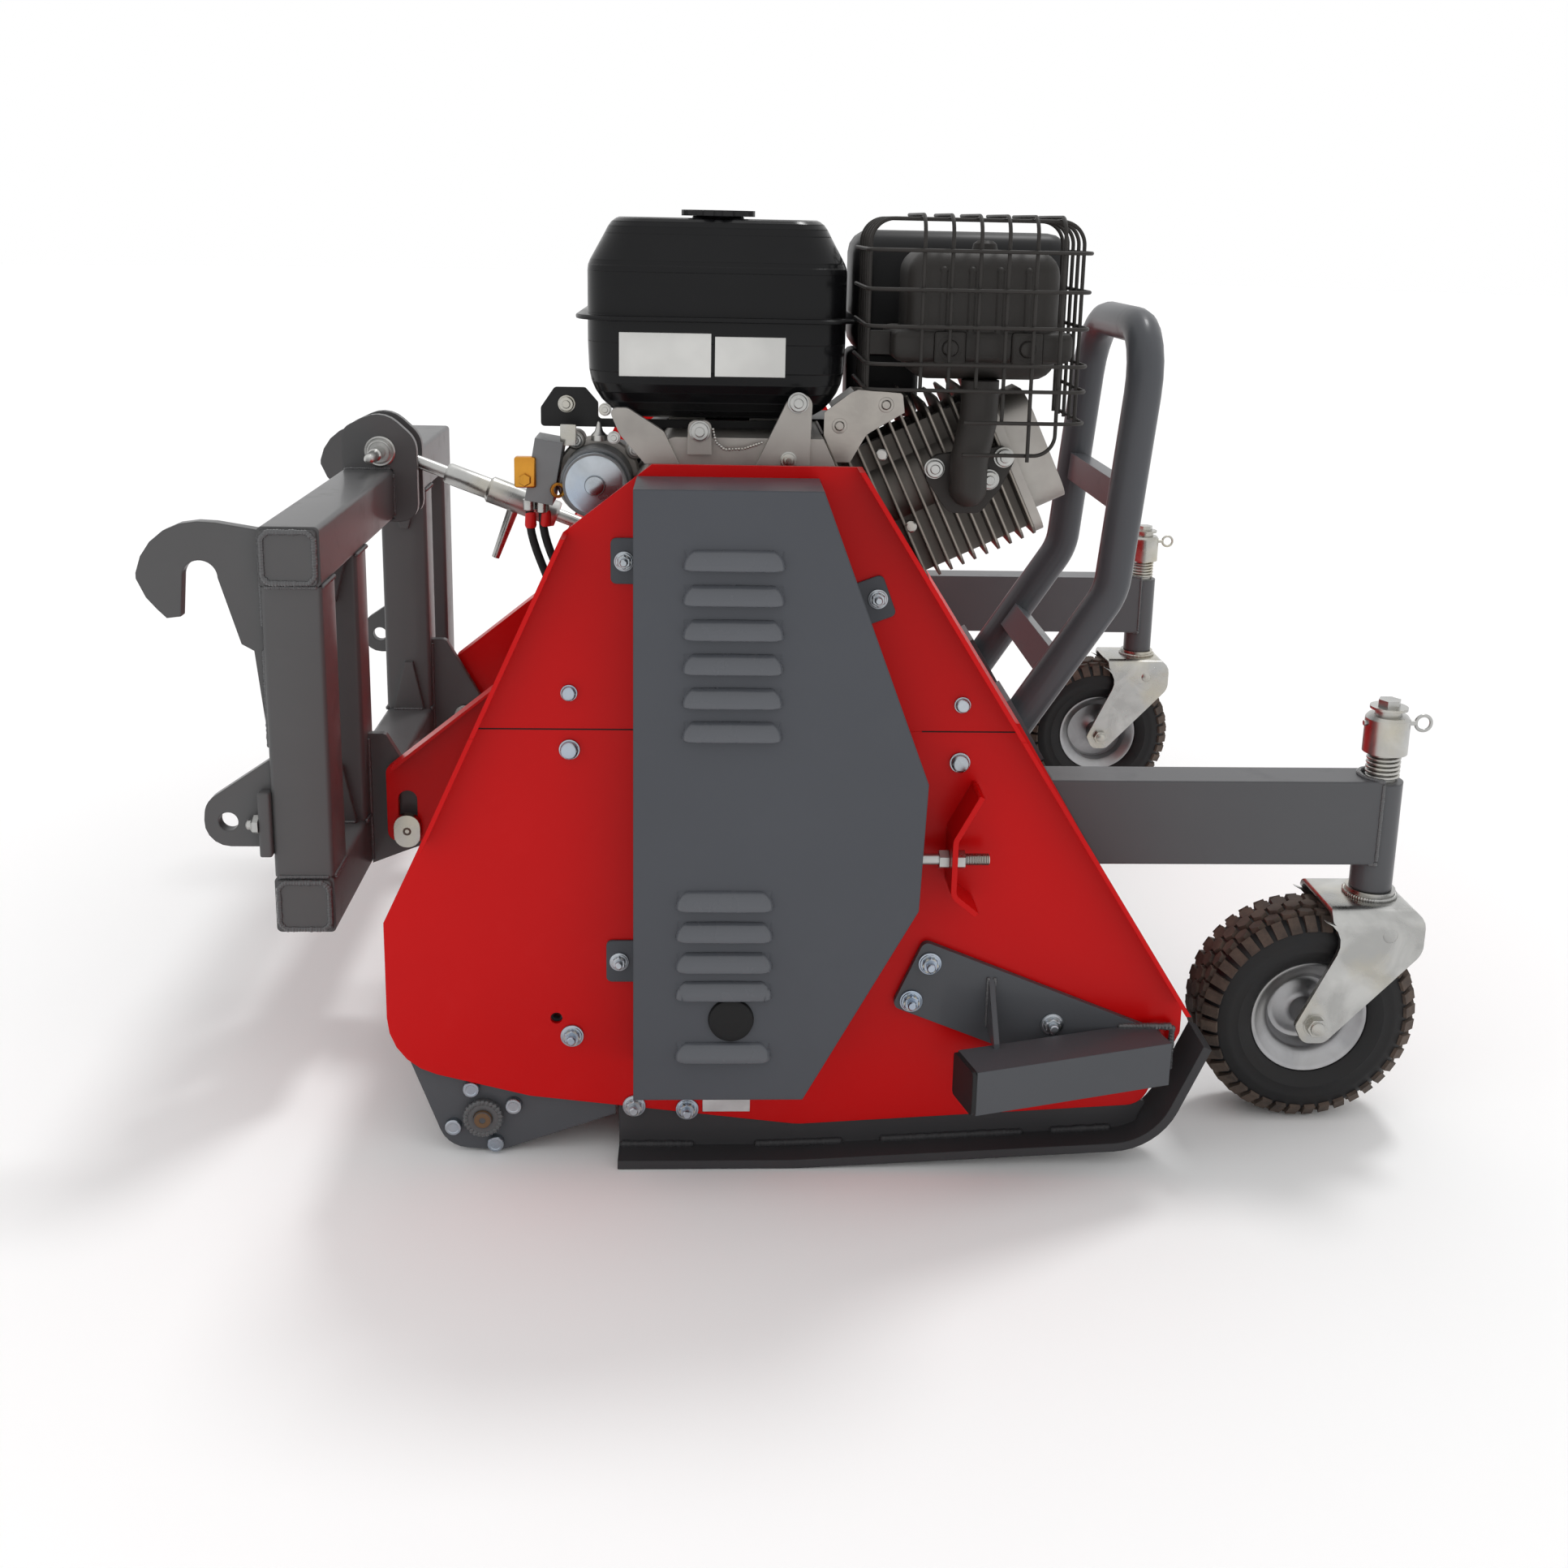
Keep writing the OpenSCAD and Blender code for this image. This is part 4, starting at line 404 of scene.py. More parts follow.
# %% The shape helpers
def made(bm, name, body, finish, slot, replaces=(), sharp=SHARP, recalc=True):
    if recalc:
        bmesh.ops.recalc_face_normals(bm, faces=bm.faces)
    mesh = bpy.data.meshes.new(name)
    bm.to_mesh(mesh)
    bm.free()
    mesh.polygons.foreach_set("use_smooth", [True] * len(mesh.polygons))
    mesh.set_sharp_from_angle(angle=sharp)
    mesh.materials.append(finish.material)
    thing = bpy.data.objects.new(name, mesh)
    bpy.context.scene.collection.objects.link(thing)
    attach(thing, body)
    if replaces:
        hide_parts(*replaces)
    return thing


def facing(origin, direction):
    """A frame at origin whose z axis points along direction."""
    return Matrix.Translation(origin) @ Vector(direction).to_track_quat("Z", "Y").to_matrix().to_4x4()


def sideways(x, y, z, sign=-1):
    """A frame at a place on the machine whose z axis points out to its right, or left for sign 1."""
    return facing(at(x, y, z), (0, sign, 0))


def turn(bm, profile, matrix, steps=48):
    """Spins a profile of (radius, height) in millimetres round the matrix's z axis."""
    verts = [bm.verts.new((r * MM, 0, h * MM)) for r, h in profile]
    edges = [bm.edges.new(pair) for pair in zip(verts, verts[1:])]
    before = set(bm.verts) - set(verts)
    bmesh.ops.spin(bm, geom=verts + edges, cent=(0, 0, 0), axis=(0, 0, 1), angle=2 * math.pi,
                   steps=steps, use_merge=True)
    new = [v for v in bm.verts if v not in before]
    bmesh.ops.remove_doubles(bm, verts=new, dist=0.002 * MM)
    new = [v for v in bm.verts if v not in before]
    bmesh.ops.transform(bm, matrix=matrix, verts=new)


def rod(bm, start, end, radius, segments):
    """A capped bar between two points in metres, its radius in millimetres."""
    bmesh.ops.create_cone(bm, cap_ends=True, segments=segments, radius1=radius * MM, radius2=radius * MM,
                          depth=(end - start).length, matrix=facing((start + end) / 2, end - start))


def block(bm, low, high, bevel, segments=1):
    """A box between two corners in metres, its edges rounded by bevel in millimetres."""
    size = Vector(high) - Vector(low)
    middle = Matrix.Translation((Vector(low) + Vector(high)) / 2)
    verts = bmesh.ops.create_cube(bm, size=1, matrix=middle @ Matrix.Diagonal((*size, 1)))["verts"]
    edges = list({e for v in verts for e in v.link_edges})
    if bevel:
        bmesh.ops.bevel(bm, geom=edges, offset=bevel * MM, segments=segments, profile=0.5,
                        affect="EDGES", material=-1)


def plate(bm, outline, y0, y1, bevel):
    """A plate cut to an outline of (x, z) in millimetres, between y0 and y1."""
    face = bm.faces.new([bm.verts.new(at(x, y0, z)) for x, z in outline])
    grown = bmesh.ops.extrude_face_region(bm, geom=[face])["geom"]
    verts = [v for v in grown if isinstance(v, bmesh.types.BMVert)]
    bmesh.ops.translate(bm, vec=(0, (y1 - y0) * MM, 0), verts=verts)
    faces = {f for v in verts for f in v.link_faces}
    rims = {e for f in faces for e in f.edges if len(f.verts) == len(outline)}
    bmesh.ops.bevel(bm, geom=list(rims), offset=bevel * MM, segments=2, profile=0.5,
                    affect="EDGES", material=-1)


def hexagon(bm, matrix, radius, height, chamfer=0.12):
    """A hexagon head standing on the matrix's xy plane, its outer corners chamfered."""
    middle = matrix @ Matrix.Translation((0, 0, height * MM / 2))
    verts = bmesh.ops.create_cone(bm, cap_ends=True, segments=6, radius1=radius * MM, radius2=radius * MM,
                                  depth=height * MM, matrix=middle)["verts"]
    top = sorted(verts, key=lambda v: (matrix.inverted() @ v.co).z)[6:]
    rim = [e for e in {e for v in top for e in v.link_edges} if all(v in top for v in e.verts)]
    bmesh.ops.bevel(bm, geom=rim, offset=radius * chamfer * MM, segments=1, profile=0.5,
                    affect="EDGES", material=-1)

# %% [markdown]
# A tyre is a spun carcass with a ring of tread on it: three rows of hexagon blocks, the middle one
# half a step ahead, and a row of lugs down each shoulder. Each block is turned to its place round the
# hub, so one loop makes them all.

# %% The tyres
AXLE_X, AXLE_Z, CASTER_Y = 767, 130, 541.5
BLOCKS = 40
BLOCK_R, BLOCK_DROP, ROW_STEP, ROW_LEAN = 126.6, 1.6, 17.4, 8
LUG_R, LUG_Y, LUG_LEAN, LUG_SIZE = 117.6, 34.5, -52, (7, 12.5, 19)
HALF_TYRE = [(60.2, 24), (60.2, 26.5), (68.4, 30.5), (69.5, 35), (74, 39), (84, 41.6), (86, 42.3), (88, 41.8),
             (96, 42.4), (99, 42.9), (101, 42.3), (108, 41), (114, 37.5), (120, 31), (123, 24), (124.5, 12),
             (125, 0)]


def tyre(side, sign):
    """A pneumatic tyre on one side's wheel, as a carcass and its tread."""
    hub = Matrix.Translation(at(AXLE_X, sign * CASTER_Y, AXLE_Z)) @ Matrix.Rotation(QUARTER, 4, "X")
    bm = bmesh.new()
    turn(bm, HALF_TYRE + [(r, -w) for r, w in reversed(HALF_TYRE[:-1])], hub, 96)
    made(bm, "tyre_" + side + "_carcass", "wheel_" + side, TYRE, "tyre_rubber", ["tyre_" + side],
         recalc=False)
    bm = bmesh.new()
    for k in range(BLOCKS):
        for row in (-1, 0, 1):
            angle = 2 * math.pi * (k + 0.5 * (row % 2)) / BLOCKS
            out = BLOCK_R * MM - abs(row) * BLOCK_DROP * MM
            spot = (hub @ Matrix.Rotation(angle, 4, "Z") @ Matrix.Translation((out, 0, row * ROW_STEP * MM))
                    @ Matrix.Rotation(math.radians(row * ROW_LEAN), 4, "Y") @ Matrix.Rotation(QUARTER, 4, "Y"))
            bmesh.ops.create_cone(bm, cap_ends=True, segments=6, radius1=10.4 * MM, radius2=9.3 * MM,
                                  depth=6 * MM, matrix=spot @ Matrix.Rotation(math.radians(30), 4, "Z"))
        for edge in (-1, 1):
            angle = 2 * math.pi * (k + 0.5) / BLOCKS
            spot = (hub @ Matrix.Rotation(angle, 4, "Z")
                    @ Matrix.Translation((LUG_R * MM, 0, edge * LUG_Y * MM))
                    @ Matrix.Rotation(math.radians(edge * LUG_LEAN), 4, "Y")
                    @ Matrix.Diagonal((*(size * MM for size in LUG_SIZE), 1)))
            bmesh.ops.create_cube(bm, size=1, matrix=spot)
    return made(bm, "tyre_" + side + "_tread", "wheel_" + side, TREAD, "tyre_rubber", recalc=False)


for side, sign in SIDES:
    thing = tyre(side, sign)
    print(thing.name, len(thing.data.polygons), "faces")

# %% [markdown]
# A pressed rim has a rolled lip that holds the tyre, a deep well and a dished centre round the hub.
# All of it is round, so one spun profile gives it, and a rubber valve stands in the well.

# %% The rims
RIM_PROFILE = [
    (8.3, 48.3), (14.6, 48.3), (15.8, 47), (15.8, 13), (17.5, 10.6), (21, 9), (29, 7), (33, 4.6), (36, 4),
    (39.5, 5.2), (41.6, 8), (43, 11.5), (44.2, 17), (46, 21.6), (49.5, 24.8), (54, 27.2), (60, 30),
    (63, 32.6), (65.6, 34.4), (68, 34.6), (69.4, 33), (69.2, 31.2), (67, 30.4), (61.5, 28.4),
    (60.1, 25.5), (60.1, -25.5), (61.5, -28.4), (67, -30.4), (69.2, -31.2), (69.4, -33), (68, -34.6),
    (65.6, -34.4), (62, -32), (56, -29), (52.5, -26), (51.5, -20), (51, -9), (48, -6.2), (30, -7.5),
    (20, -10), (15.8, -13), (15.8, -47), (14.6, -48.3), (8.3, -48.3), (8.3, 48.3)]


def rim(side, sign):
    bm = bmesh.new()
    turn(bm, RIM_PROFILE, sideways(AXLE_X, sign * CASTER_Y, AXLE_Z, sign), 72)
    return made(bm, "rim_" + side + "_pressed", "wheel_" + side, RIM, "zinc_plate", ["rim_" + side])


def valve(side, sign):
    stem = facing(at(AXLE_X + 47, sign * (CASTER_Y + 6), AXLE_Z + 8), (0.2, sign, 0.05))
    bm = bmesh.new()
    turn(bm, [(0, 25), (3.4, 25), (4, 24), (4, 16), (5, 14), (6.2, 3), (7.5, 0), (0, 0)], stem, 20)
    return made(bm, "valve_" + side, "wheel_" + side, RUBBER, "black_rubber")


for side, sign in SIDES:
    print(rim(side, sign).name, valve(side, sign).name)

# %% [markdown]
# Welds show as a row of overlapping ripples. A row of small spheres along the joint, each a little
# different in size, reads as a weld from every side and costs only a few dozen faces a ripple.

# %% The weld helper
dice = random.Random(11)


def weld(bm, points, radius=3.0, pitch=0.95):
    """Ripples along a path of points in metres; the pitch counts in radii."""
    for start, end in zip(points, points[1:]):
        bead = bmesh.new()  # a small mesh of its own, because each operator runs through the whole mesh
        count = max(1, round((end - start).length / (radius * pitch * MM)))
        for k in range(count):
            spot = start.lerp(end, (k + 0.5) / count)
            size = radius * MM * (0.88 + 0.24 * dice.random())
            bmesh.ops.create_uvsphere(bead, u_segments=8, v_segments=5, radius=size,
                                      matrix=Matrix.Translation(spot))
        carrier = bpy.data.meshes.new("bead")
        bead.to_mesh(carrier)
        bead.free()
        bm.from_mesh(carrier)
        bpy.data.meshes.remove(carrier)


def ring(centre, radius, axis, steps):
    """Points round a circle in metres, for welds."""
    frame_at = facing(centre, axis)
    angles = [2 * math.pi * k / steps for k in range(steps + 1)]
    return [frame_at @ Vector((radius * MM * math.cos(a), radius * MM * math.sin(a), 0)) for a in angles]


# %% [markdown]
# The caster's spring is round wire with five and a half turns. Spinning a small circle while it
# climbs gives the coil in one step. The fork gets its weld at the crown and the pressed dimple on
# each leg, and the arm is welded all round the side of the spindle's tube that it meets.

# %% The springs and forks
SPINDLE_X, TUBE_TOP, COLLAR_Z, CROWN_Z = 838, 412, 446, 272
ARM_LOW, ARM_HIGH, ARM_SIDE, TUBE_WELD_R = 317, 417, 24.6, 25.5
COILS, COIL_STEPS, COIL_R, WIRE_R = 5.5, 20, 17.4, 2
AXLE_NUT = [(0, 11.2), (4.5, 11), (7, 10), (8.4, 8), (8.4, 0), (11, 0.6), (14, 0.4), (14, -1), (0, -1)]


def spring(bm, sign):
    foot = Matrix.Translation(at(SPINDLE_X, sign * CASTER_Y, TUBE_TOP + WIRE_R + 0.3))
    start = foot @ Matrix.Translation((COIL_R * MM, 0, 0)) @ Matrix.Rotation(QUARTER, 4, "X")
    wire = bmesh.ops.create_circle(bm, cap_ends=False, segments=10, radius=WIRE_R * MM, matrix=start)["verts"]
    edges = list({e for v in wire for e in v.link_edges})
    steps = int(COILS * COIL_STEPS)
    rise = (COLLAR_Z - TUBE_TOP - 2 * WIRE_R - 0.6) * MM / steps
    bmesh.ops.spin(bm, geom=wire + edges, cent=foot.translation, axis=(0, 0, 1), dvec=(0, 0, rise),
                   angle=COILS * 2 * math.pi, steps=steps)
    bmesh.ops.holes_fill(bm, edges=[e for e in bm.edges if e.is_boundary])


bm = bmesh.new()
for side, sign in SIDES:
    spring(bm, sign)
coils = made(bm, "spindle_coils", "deck", ZINC, "zinc_plate", ["spindle_springs"])
for side, sign in SIDES:
    bm = bmesh.new()
    middle = sign * CASTER_Y
    weld(bm, ring(at(SPINDLE_X, middle, CROWN_Z + 1.5), 29, (0, 0, 1), 30), 2.6)
    for leg in (-1, 1):
        dimple = at(SPINDLE_X + 6, middle + leg * 54.6, CROWN_Z - 30)
        flat = Matrix.Diagonal((1, 0.32, 1, 1))
        bmesh.ops.create_uvsphere(bm, u_segments=20, v_segments=12, radius=9 * MM,
                                  matrix=Matrix.Translation(dimple) @ flat)
        turn(bm, AXLE_NUT, sideways(AXLE_X, middle + leg * 55.6, AXLE_Z, leg), 28)
    made(bm, "fork_" + side + "_crown", "fork_" + side, ZINC, "zinc_plate")
    bm = bmesh.new()
    for leg in (-1, 1):
        y = middle + leg * ARM_SIDE
        weld(bm, [at(SPINDLE_X - 7, y, ARM_LOW + 4), at(SPINDLE_X - 7, y, ARM_HIGH - 4)], 2.6)
    arc = [math.radians(-75 + 12.5 * k) for k in range(13)]
    for z in (ARM_LOW, ARM_HIGH):
        weld(bm, [at(SPINDLE_X - TUBE_WELD_R * math.cos(a), middle + TUBE_WELD_R * math.sin(a), z)
                  for a in arc], 3.2)
    made(bm, "arm_welds_" + side, "deck", BEAD, "slate_paint")
print("springs and forks:", len(coils.data.polygons), "faces in the coils")

# %% [markdown]
# The belt guard's louvres are pressed out of the sheet: each is a long rounded hood, open below. A
# sphere pulled out along x, cut off behind the sheet and under its lip, and given a thickness, has
# the soft ends that a press leaves. The one above the rubber plug is shallower and a little higher.

# %% The louvres
HALF = 648.5  # from the middle to the outer face of the side plates
GUARD_FACE = -732.5
ABOVE_PLUG = 345 - 3 * 34
LOUVRES = [(85, 702 - 35 * k) for k in range(6)] + [(80, 345 - 34 * k) for k in range(4)] + [(80, 175)]
STRAIGHT, ROUND_END = 36, 14.4  # half the straight length, and the length of each rounded end


def hood(x, z, out):
    """One louvre in the guard's face about (x, z), standing out by so many millimetres."""
    bm = bmesh.new()
    bmesh.ops.create_uvsphere(bm, u_segments=24, v_segments=16, radius=1,
                              matrix=Matrix.Rotation(QUARTER, 4, "Y"))
    for cut, away in (((0, 0.05, 0), (0, 1, 0)), ((0, 0, -0.62), (0, 0, -1))):
        everything = bm.verts[:] + bm.edges[:] + bm.faces[:]
        bmesh.ops.bisect_plane(bm, geom=everything, plane_co=cut, plane_no=away, clear_outer=True)
    for v in bm.verts:
        pull = 0 if abs(v.co.x) < 0.01 else math.copysign(STRAIGHT, v.co.x)
        height = 18.6 if v.co.z > 0 else 3
        v.co = Vector((pull + ROUND_END * v.co.x, out * v.co.y, -9.2 + height * v.co.z)) * MM
    bmesh.ops.translate(bm, vec=at(x, GUARD_FACE, z), verts=bm.verts)
    bmesh.ops.recalc_face_normals(bm, faces=bm.faces)
    bmesh.ops.solidify(bm, geom=bm.faces[:], thickness=1.1 * MM)
    return bm


# Each hood wears the lighter copy of the guard's grey, a painted highlight.
for number, (x, z) in enumerate(LOUVRES):
    louvre = hood(x, z + 1.5, 8.6) if z == ABOVE_PLUG else hood(x, z, 11)
    made(louvre, "louvre_%02d" % number, "deck", HOOD_HIGHLIGHT_COAT, "slate_paint", recalc=False)
print("louvres:", len(LOUVRES))

# %% [markdown]
# Bolts are the same few shapes: a washer, a nut with a stud standing out of it, or a flat round head
# on a plain coach bolt. Each is spun at a bolt's place and covers the solid's plain head below it.

# %% The deck's fasteners
NUT_10 = [(0, 15.4), (3.8, 15.4), (4.9, 14.2), (4.9, 7.6), (8.2, 7.4), (8.2, 3.6), (10.4, 3.4), (11.2, 2.6),
          (12.6, 2.4), (12.6, 0), (0, 0)]
HEAD_10 = [(0, 8.8), (6.6, 8.8), (8, 8.4), (9.4, 7), (9.5, 2.4), (11, 2.2), (11, 0), (0, 0)]
PLATE_BOLTS = [((-85, 478), 10), ((-85, 540), 8), ((330, 466), 10), ((330, 530), 8)]
STUDS = [(-85, 147.5), (-17, 62), (42, 58)]
ARM_BOLTS = [(306, 237.5), (287, 193), (445, 165)]
GUARD_BOLTS = [(-27, 682), (236, 645), (-33, 237)]
THREAD_PITCH, THREAD_TURNS = 1.8, 14


def scaled(profile, factor):
    return [(r * factor, h * factor) for r, h in profile]


for side, sign in SIDES:
    bm = bmesh.new()
    for (x, z), size in PLATE_BOLTS:
        turn(bm, scaled(HEAD_10, size / 10), sideways(x, sign * (HALF + 0.1), z, sign), 32)
    for x, z in STUDS:
        turn(bm, NUT_10, sideways(x, sign * (HALF + 0.1), z, sign), 32)
        hexagon(bm, sideways(x, sign * (HALF + 3.4), z, sign), 9.2, 5)
    if sign < 0:
        for x, z in ARM_BOLTS:
            turn(bm, NUT_10, sideways(x, -HALF - 8.2, z), 32)
            hexagon(bm, sideways(x, -HALF - 11.6, z), 9.2, 5)
        for x, z in GUARD_BOLTS:
            turn(bm, scaled(NUT_10, 0.82), sideways(x, -HALF - 3.2, z), 32)
            hexagon(bm, sideways(x, -HALF - 6, z), 7.6, 4.2)
    made(bm, "deck_fasteners_" + side, "deck", BLUE_ZINC, "zinc_plate")
bm = bmesh.new()
ridges = [p for k in range(THREAD_TURNS)
          for p in ((5.7, THREAD_PITCH * k), (6.5, THREAD_PITCH * k + 0.9))]
turn(bm, [(0, 0)] + ridges + [(5.2, 26.2), (0, 26.6)], facing(at(335.8, -HALF - 26, 366), (1, 0, 0)), 24)
made(bm, "tension_thread", "tension_bolt", DARK_STEEL, "zinc_plate")
print("fasteners: both sides and the tension bolt's thread")

# %% [markdown]
# A blank silver plate sits under the guard, the joint of upper and lower plate shows as a thin dark
# line, and the skids, the deflector and its gusset are welded on with heavy seams.

# %% Seams and welds on the deck
SEAM_Z, SEAM_HALF = 500, 0.7
SEAM_ENDS = (-181, 388)
SOLE_TOP, SOLE_BEND, SOLE_SLOPE = 10.2, 160, 0.052
bm = bmesh.new()
block(bm, at(59, -HALF - 1, 54), at(112, -HALF + 0.2, 100), 0.4)
made(bm, "data_plate", "deck", LABEL, "zinc_plate")
bm = bmesh.new()
low, high = SEAM_Z - SEAM_HALF, SEAM_Z + SEAM_HALF
for start, end in ((SEAM_ENDS[0], -14), (288, SEAM_ENDS[1])):
    block(bm, at(start, -HALF - 0.25, low), at(end, -HALF + 0.3, high), 0)
block(bm, at(SEAM_ENDS[0], HALF - 0.3, low), at(SEAM_ENDS[1], HALF + 0.25, high), 0)
made(bm, "plate_seams", "deck", RUBBER, "red_paint")


def sole(x):
    """Height of the skid's upper face at x."""
    return SOLE_TOP + max(0, x - SOLE_BEND) * SOLE_SLOPE


# The skid welds share the skids' darker coat, which is painted shade.
for side, sign in SIDES:
    bm = bmesh.new()
    y = sign * (HALF - 4)
    for start, end in ((-30, 48), (120, 215), (262, 420), (455, 520)):
        weld(bm, [at(start, y, sole(start) + 1), at(end, y, sole(end) + 1)], 4.6)
    made(bm, "skid_welds_" + side, "deck", SHADED_SKID, "slate_paint")
bm = bmesh.new()
face = -HALF - 9.2  # the outer face of the deflector's plate
for x in (371.5, 378.5):
    weld(bm, [at(x, face, 163), at(x, face, 220)], 2.4)
for start, end in (((520, 162), (578, 162)), ((580, 161), (580, 111)), ((578, 110), (520, 110))):
    weld(bm, [at(start[0], face, start[1]), at(end[0], face, end[1])], 4)
weld(bm, [at(372, face - 46, 162), at(378, face - 46, 162)], 2.6)
made(bm, "deflector_welds", "deck", BEAD, "slate_paint")
bm = bmesh.new()
for z, end in ((313, 346), (442, 346)):
    weld(bm, [at(end, -HALF - 2, z), at(end, -HALF - 48, z)], 3.2)
made(bm, "strap_welds", "deck", RED, "red_paint")

# %% [markdown]
# The roller hangs in two plates. Flat bolt heads hold each bearing, and the shaft's end, bare and
# rusty, looks out of a lumpy welded collar.

# %% The roller's ends
ROLLER_X, ROLLER_Z = -185, 45.2
BRACKET_FACE = HALF - 10.4
BOLT_CIRCLE, FIRST_BOLT = 36, 21
FLAT_HEAD = [(0, 6.9), (5.6, 6.9), (6.2, 7.3), (8.4, 7.1), (9.3, 5.8), (9.3, 0), (0, 0)]
COLLAR = [(10.6, 1.4), (14, 2.2), (18.6, 1.2), (20.4, -1.6), (20.4, -8), (10.6, -8), (10.6, 1.4)]
SHAFT_END = [(0, -1.4), (3, -1.2), (3.6, 0.6), (8.6, 0.6), (10.2, -1), (10.3, -12), (0, -12)]
for side, sign in SIDES:
    bm = bmesh.new()
    for k in range(4):
        angle = math.radians(FIRST_BOLT + 90 * k)
        x, z = ROLLER_X + BOLT_CIRCLE * math.cos(angle), ROLLER_Z + BOLT_CIRCLE * math.sin(angle)
        turn(bm, FLAT_HEAD, sideways(x, sign * BRACKET_FACE, z, sign), 28)
    made(bm, "roller_bolt_heads_" + side, "deck", BLUE_ZINC, "zinc_plate")
    bm = bmesh.new()
    collar = sideways(ROLLER_X, sign * (BRACKET_FACE + 8), ROLLER_Z, sign)
    turn(bm, COLLAR, collar, 32)
    weld(bm, ring(collar.translation, 19.5, (0, 1, 0), 26), 3.4)
    made(bm, "roller_collar_" + side, "deck", BEAD, "slate_paint")
    bm = bmesh.new()
    turn(bm, SHAFT_END, sideways(ROLLER_X, sign * (HALF + 3), ROLLER_Z, sign), 28)
    made(bm, "roller_shaft_" + side, "rear_roller", RUST, "slate_paint")
print("roller: heads, collars and shaft ends")

# %% [markdown]
# The hitch is square tube. Plates close its ends, set back inside a square of weld, and every tube,
# hook and lug shows its seam.

# %% The hitch's welds
HITCH_X, TUBE, END_Y, TOP_Z, LOW_Z = -416, 70, 470, 643, 220.5
BACK, FRONT = HITCH_X - TUBE / 2, HITCH_X + TUBE / 2
INNER_Y, HOOK_Y, BRACKET_Y, EAR_Y = 250, 447.5, 245, 22
R, CUT = 29.5, 22.5  # the square of weld round each end plate has its corners cut off
END_SQUARE = [(-R, -CUT), (-R, CUT), (-CUT, R), (CUT, R), (R, CUT), (R, -CUT), (CUT, -R), (-CUT, -R),
              (-R, -CUT)]


def seam(bm, start, end, radius):
    """One straight weld between two places on the machine."""
    weld(bm, [at(*start), at(*end)], radius)


for side, sign in SIDES:
    bm = bmesh.new()
    for z in (TOP_Z, LOW_Z):
        weld(bm, [at(HITCH_X + u, sign * (END_Y - 0.6), z + w) for u, w in END_SQUARE], 3.6)
    for z in (LOW_Z + TUBE / 2, TOP_Z - TUBE / 2):
        seam(bm, (BACK + 6, sign * (END_Y - 5), z), (FRONT - 6, sign * (END_Y - 5), z), 2.6)
        seam(bm, (FRONT, sign * (END_Y - 11), z), (FRONT, sign * (END_Y - 69), z), 3)
        for x in (FRONT, BACK):
            seam(bm, (x, sign * (INNER_Y - 29), z), (x, sign * (INNER_Y + 29), z), 3)
    for face in (-8, 8):
        y = sign * (HOOK_Y + face)
        for low, high in ((415, 530), (560, 668), (292, 340)):
            seam(bm, (BACK - 0.5, y, low), (BACK - 0.5, y, high), 3.2)
    for face in (-6.5, 6.5):
        y = sign * BRACKET_Y + face
        seam(bm, (FRONT + 0.5, y, 192), (FRONT + 0.5, y, 358), 2.8)
    for face in (-37, 37):
        y = sign * INNER_Y + face
        for z in (LOW_Z + TUBE / 2 + 1, TOP_Z - TUBE / 2 - 1):
            seam(bm, (HITCH_X - 22, y, z), (HITCH_X + 22, y, z), 2.6)
    for face in (-7, 7):
        y = sign * EAR_Y + face
        seam(bm, (BACK + 4, y, TOP_Z + 35.5), (FRONT - 4, y, TOP_Z + 35.5), 2.8)
        seam(bm, (FRONT + 0.5, y, TOP_Z - 28), (FRONT + 0.5, y, TOP_Z + 28), 2.8)
    thing = made(bm, "hitch_welds_" + side, "hitch", BEAD, "hitch_paint")
    print(thing.name, len(thing.data.polygons), "faces")

# %% [markdown]
# Pins are zinc plated. The top link's pin sits in a ring with rounded edges, the float pins have a
# small socket in their heads, and a block with a plated bolt stands on each side of a lower lug.

# %% The hitch's pins
EAR_X, EAR_Z = -398, 703
PIN_X, PIN_Y, PIN_Z = -330, 277, 240
BOLT_FACE, BOLT_Z, BOLT_YS = BACK - 14.2, 321, (422.5, 463.5)
RING = [(9.2, 4), (11, 7), (15, 8.2), (16.4, 7.4), (16.6, 3), (19.6, 3.4), (21.4, 1.6), (21.4, 0), (9.2, 0),
        (9.2, 4)]
NOSE = [(0, 42), (3.4, 41.4), (6.4, 38), (7.2, 33), (7.2, 4), (9.3, 1), (9.3, -5), (0, -5)]
STUD = [(0, 15.6), (4.6, 15.4), (6.4, 13.6), (6.6, 8), (0, 8)]
SOCKET = [(0, -0.6), (2.6, -0.4), (3, 0.9), (4.6, 1), (5.4, 0.2), (5.6, -0.4), (0, -0.8)]
bm = bmesh.new()
turn(bm, RING, sideways(EAR_X, -28.2, EAR_Z), 40)
turn(bm, NOSE, sideways(EAR_X, -66.2, EAR_Z), 32)
for side, sign in SIDES:
    for y in BOLT_YS:
        seat = facing(at(BOLT_FACE, sign * y, BOLT_Z), (-1, 0, 0))
        hexagon(bm, seat, 11.8, 8.8, 0.2)
        turn(bm, STUD, seat, 24)
made(bm, "hitch_fasteners", "hitch", ZINC, "zinc_plate")
for side, sign in SIDES:
    bm = bmesh.new()
    inner, outer = sorted((sign * 455.6, sign * 471.5))
    block(bm, at(BOLT_FACE, inner, 282), at(BACK + 0.4, outer, 362), 2.6, 3)
    made(bm, "lock_bracket_" + side, "hitch", HITCH, "hitch_paint")
bm = bmesh.new()
for side, sign in SIDES:
    turn(bm, SOCKET, sideways(PIN_X, sign * PIN_Y, PIN_Z, sign), 24)
made(bm, "pin_sockets", "hitch_pins", DARK_STEEL, "zinc_plate")
print("pins: link pin, lug bolts and sockets")

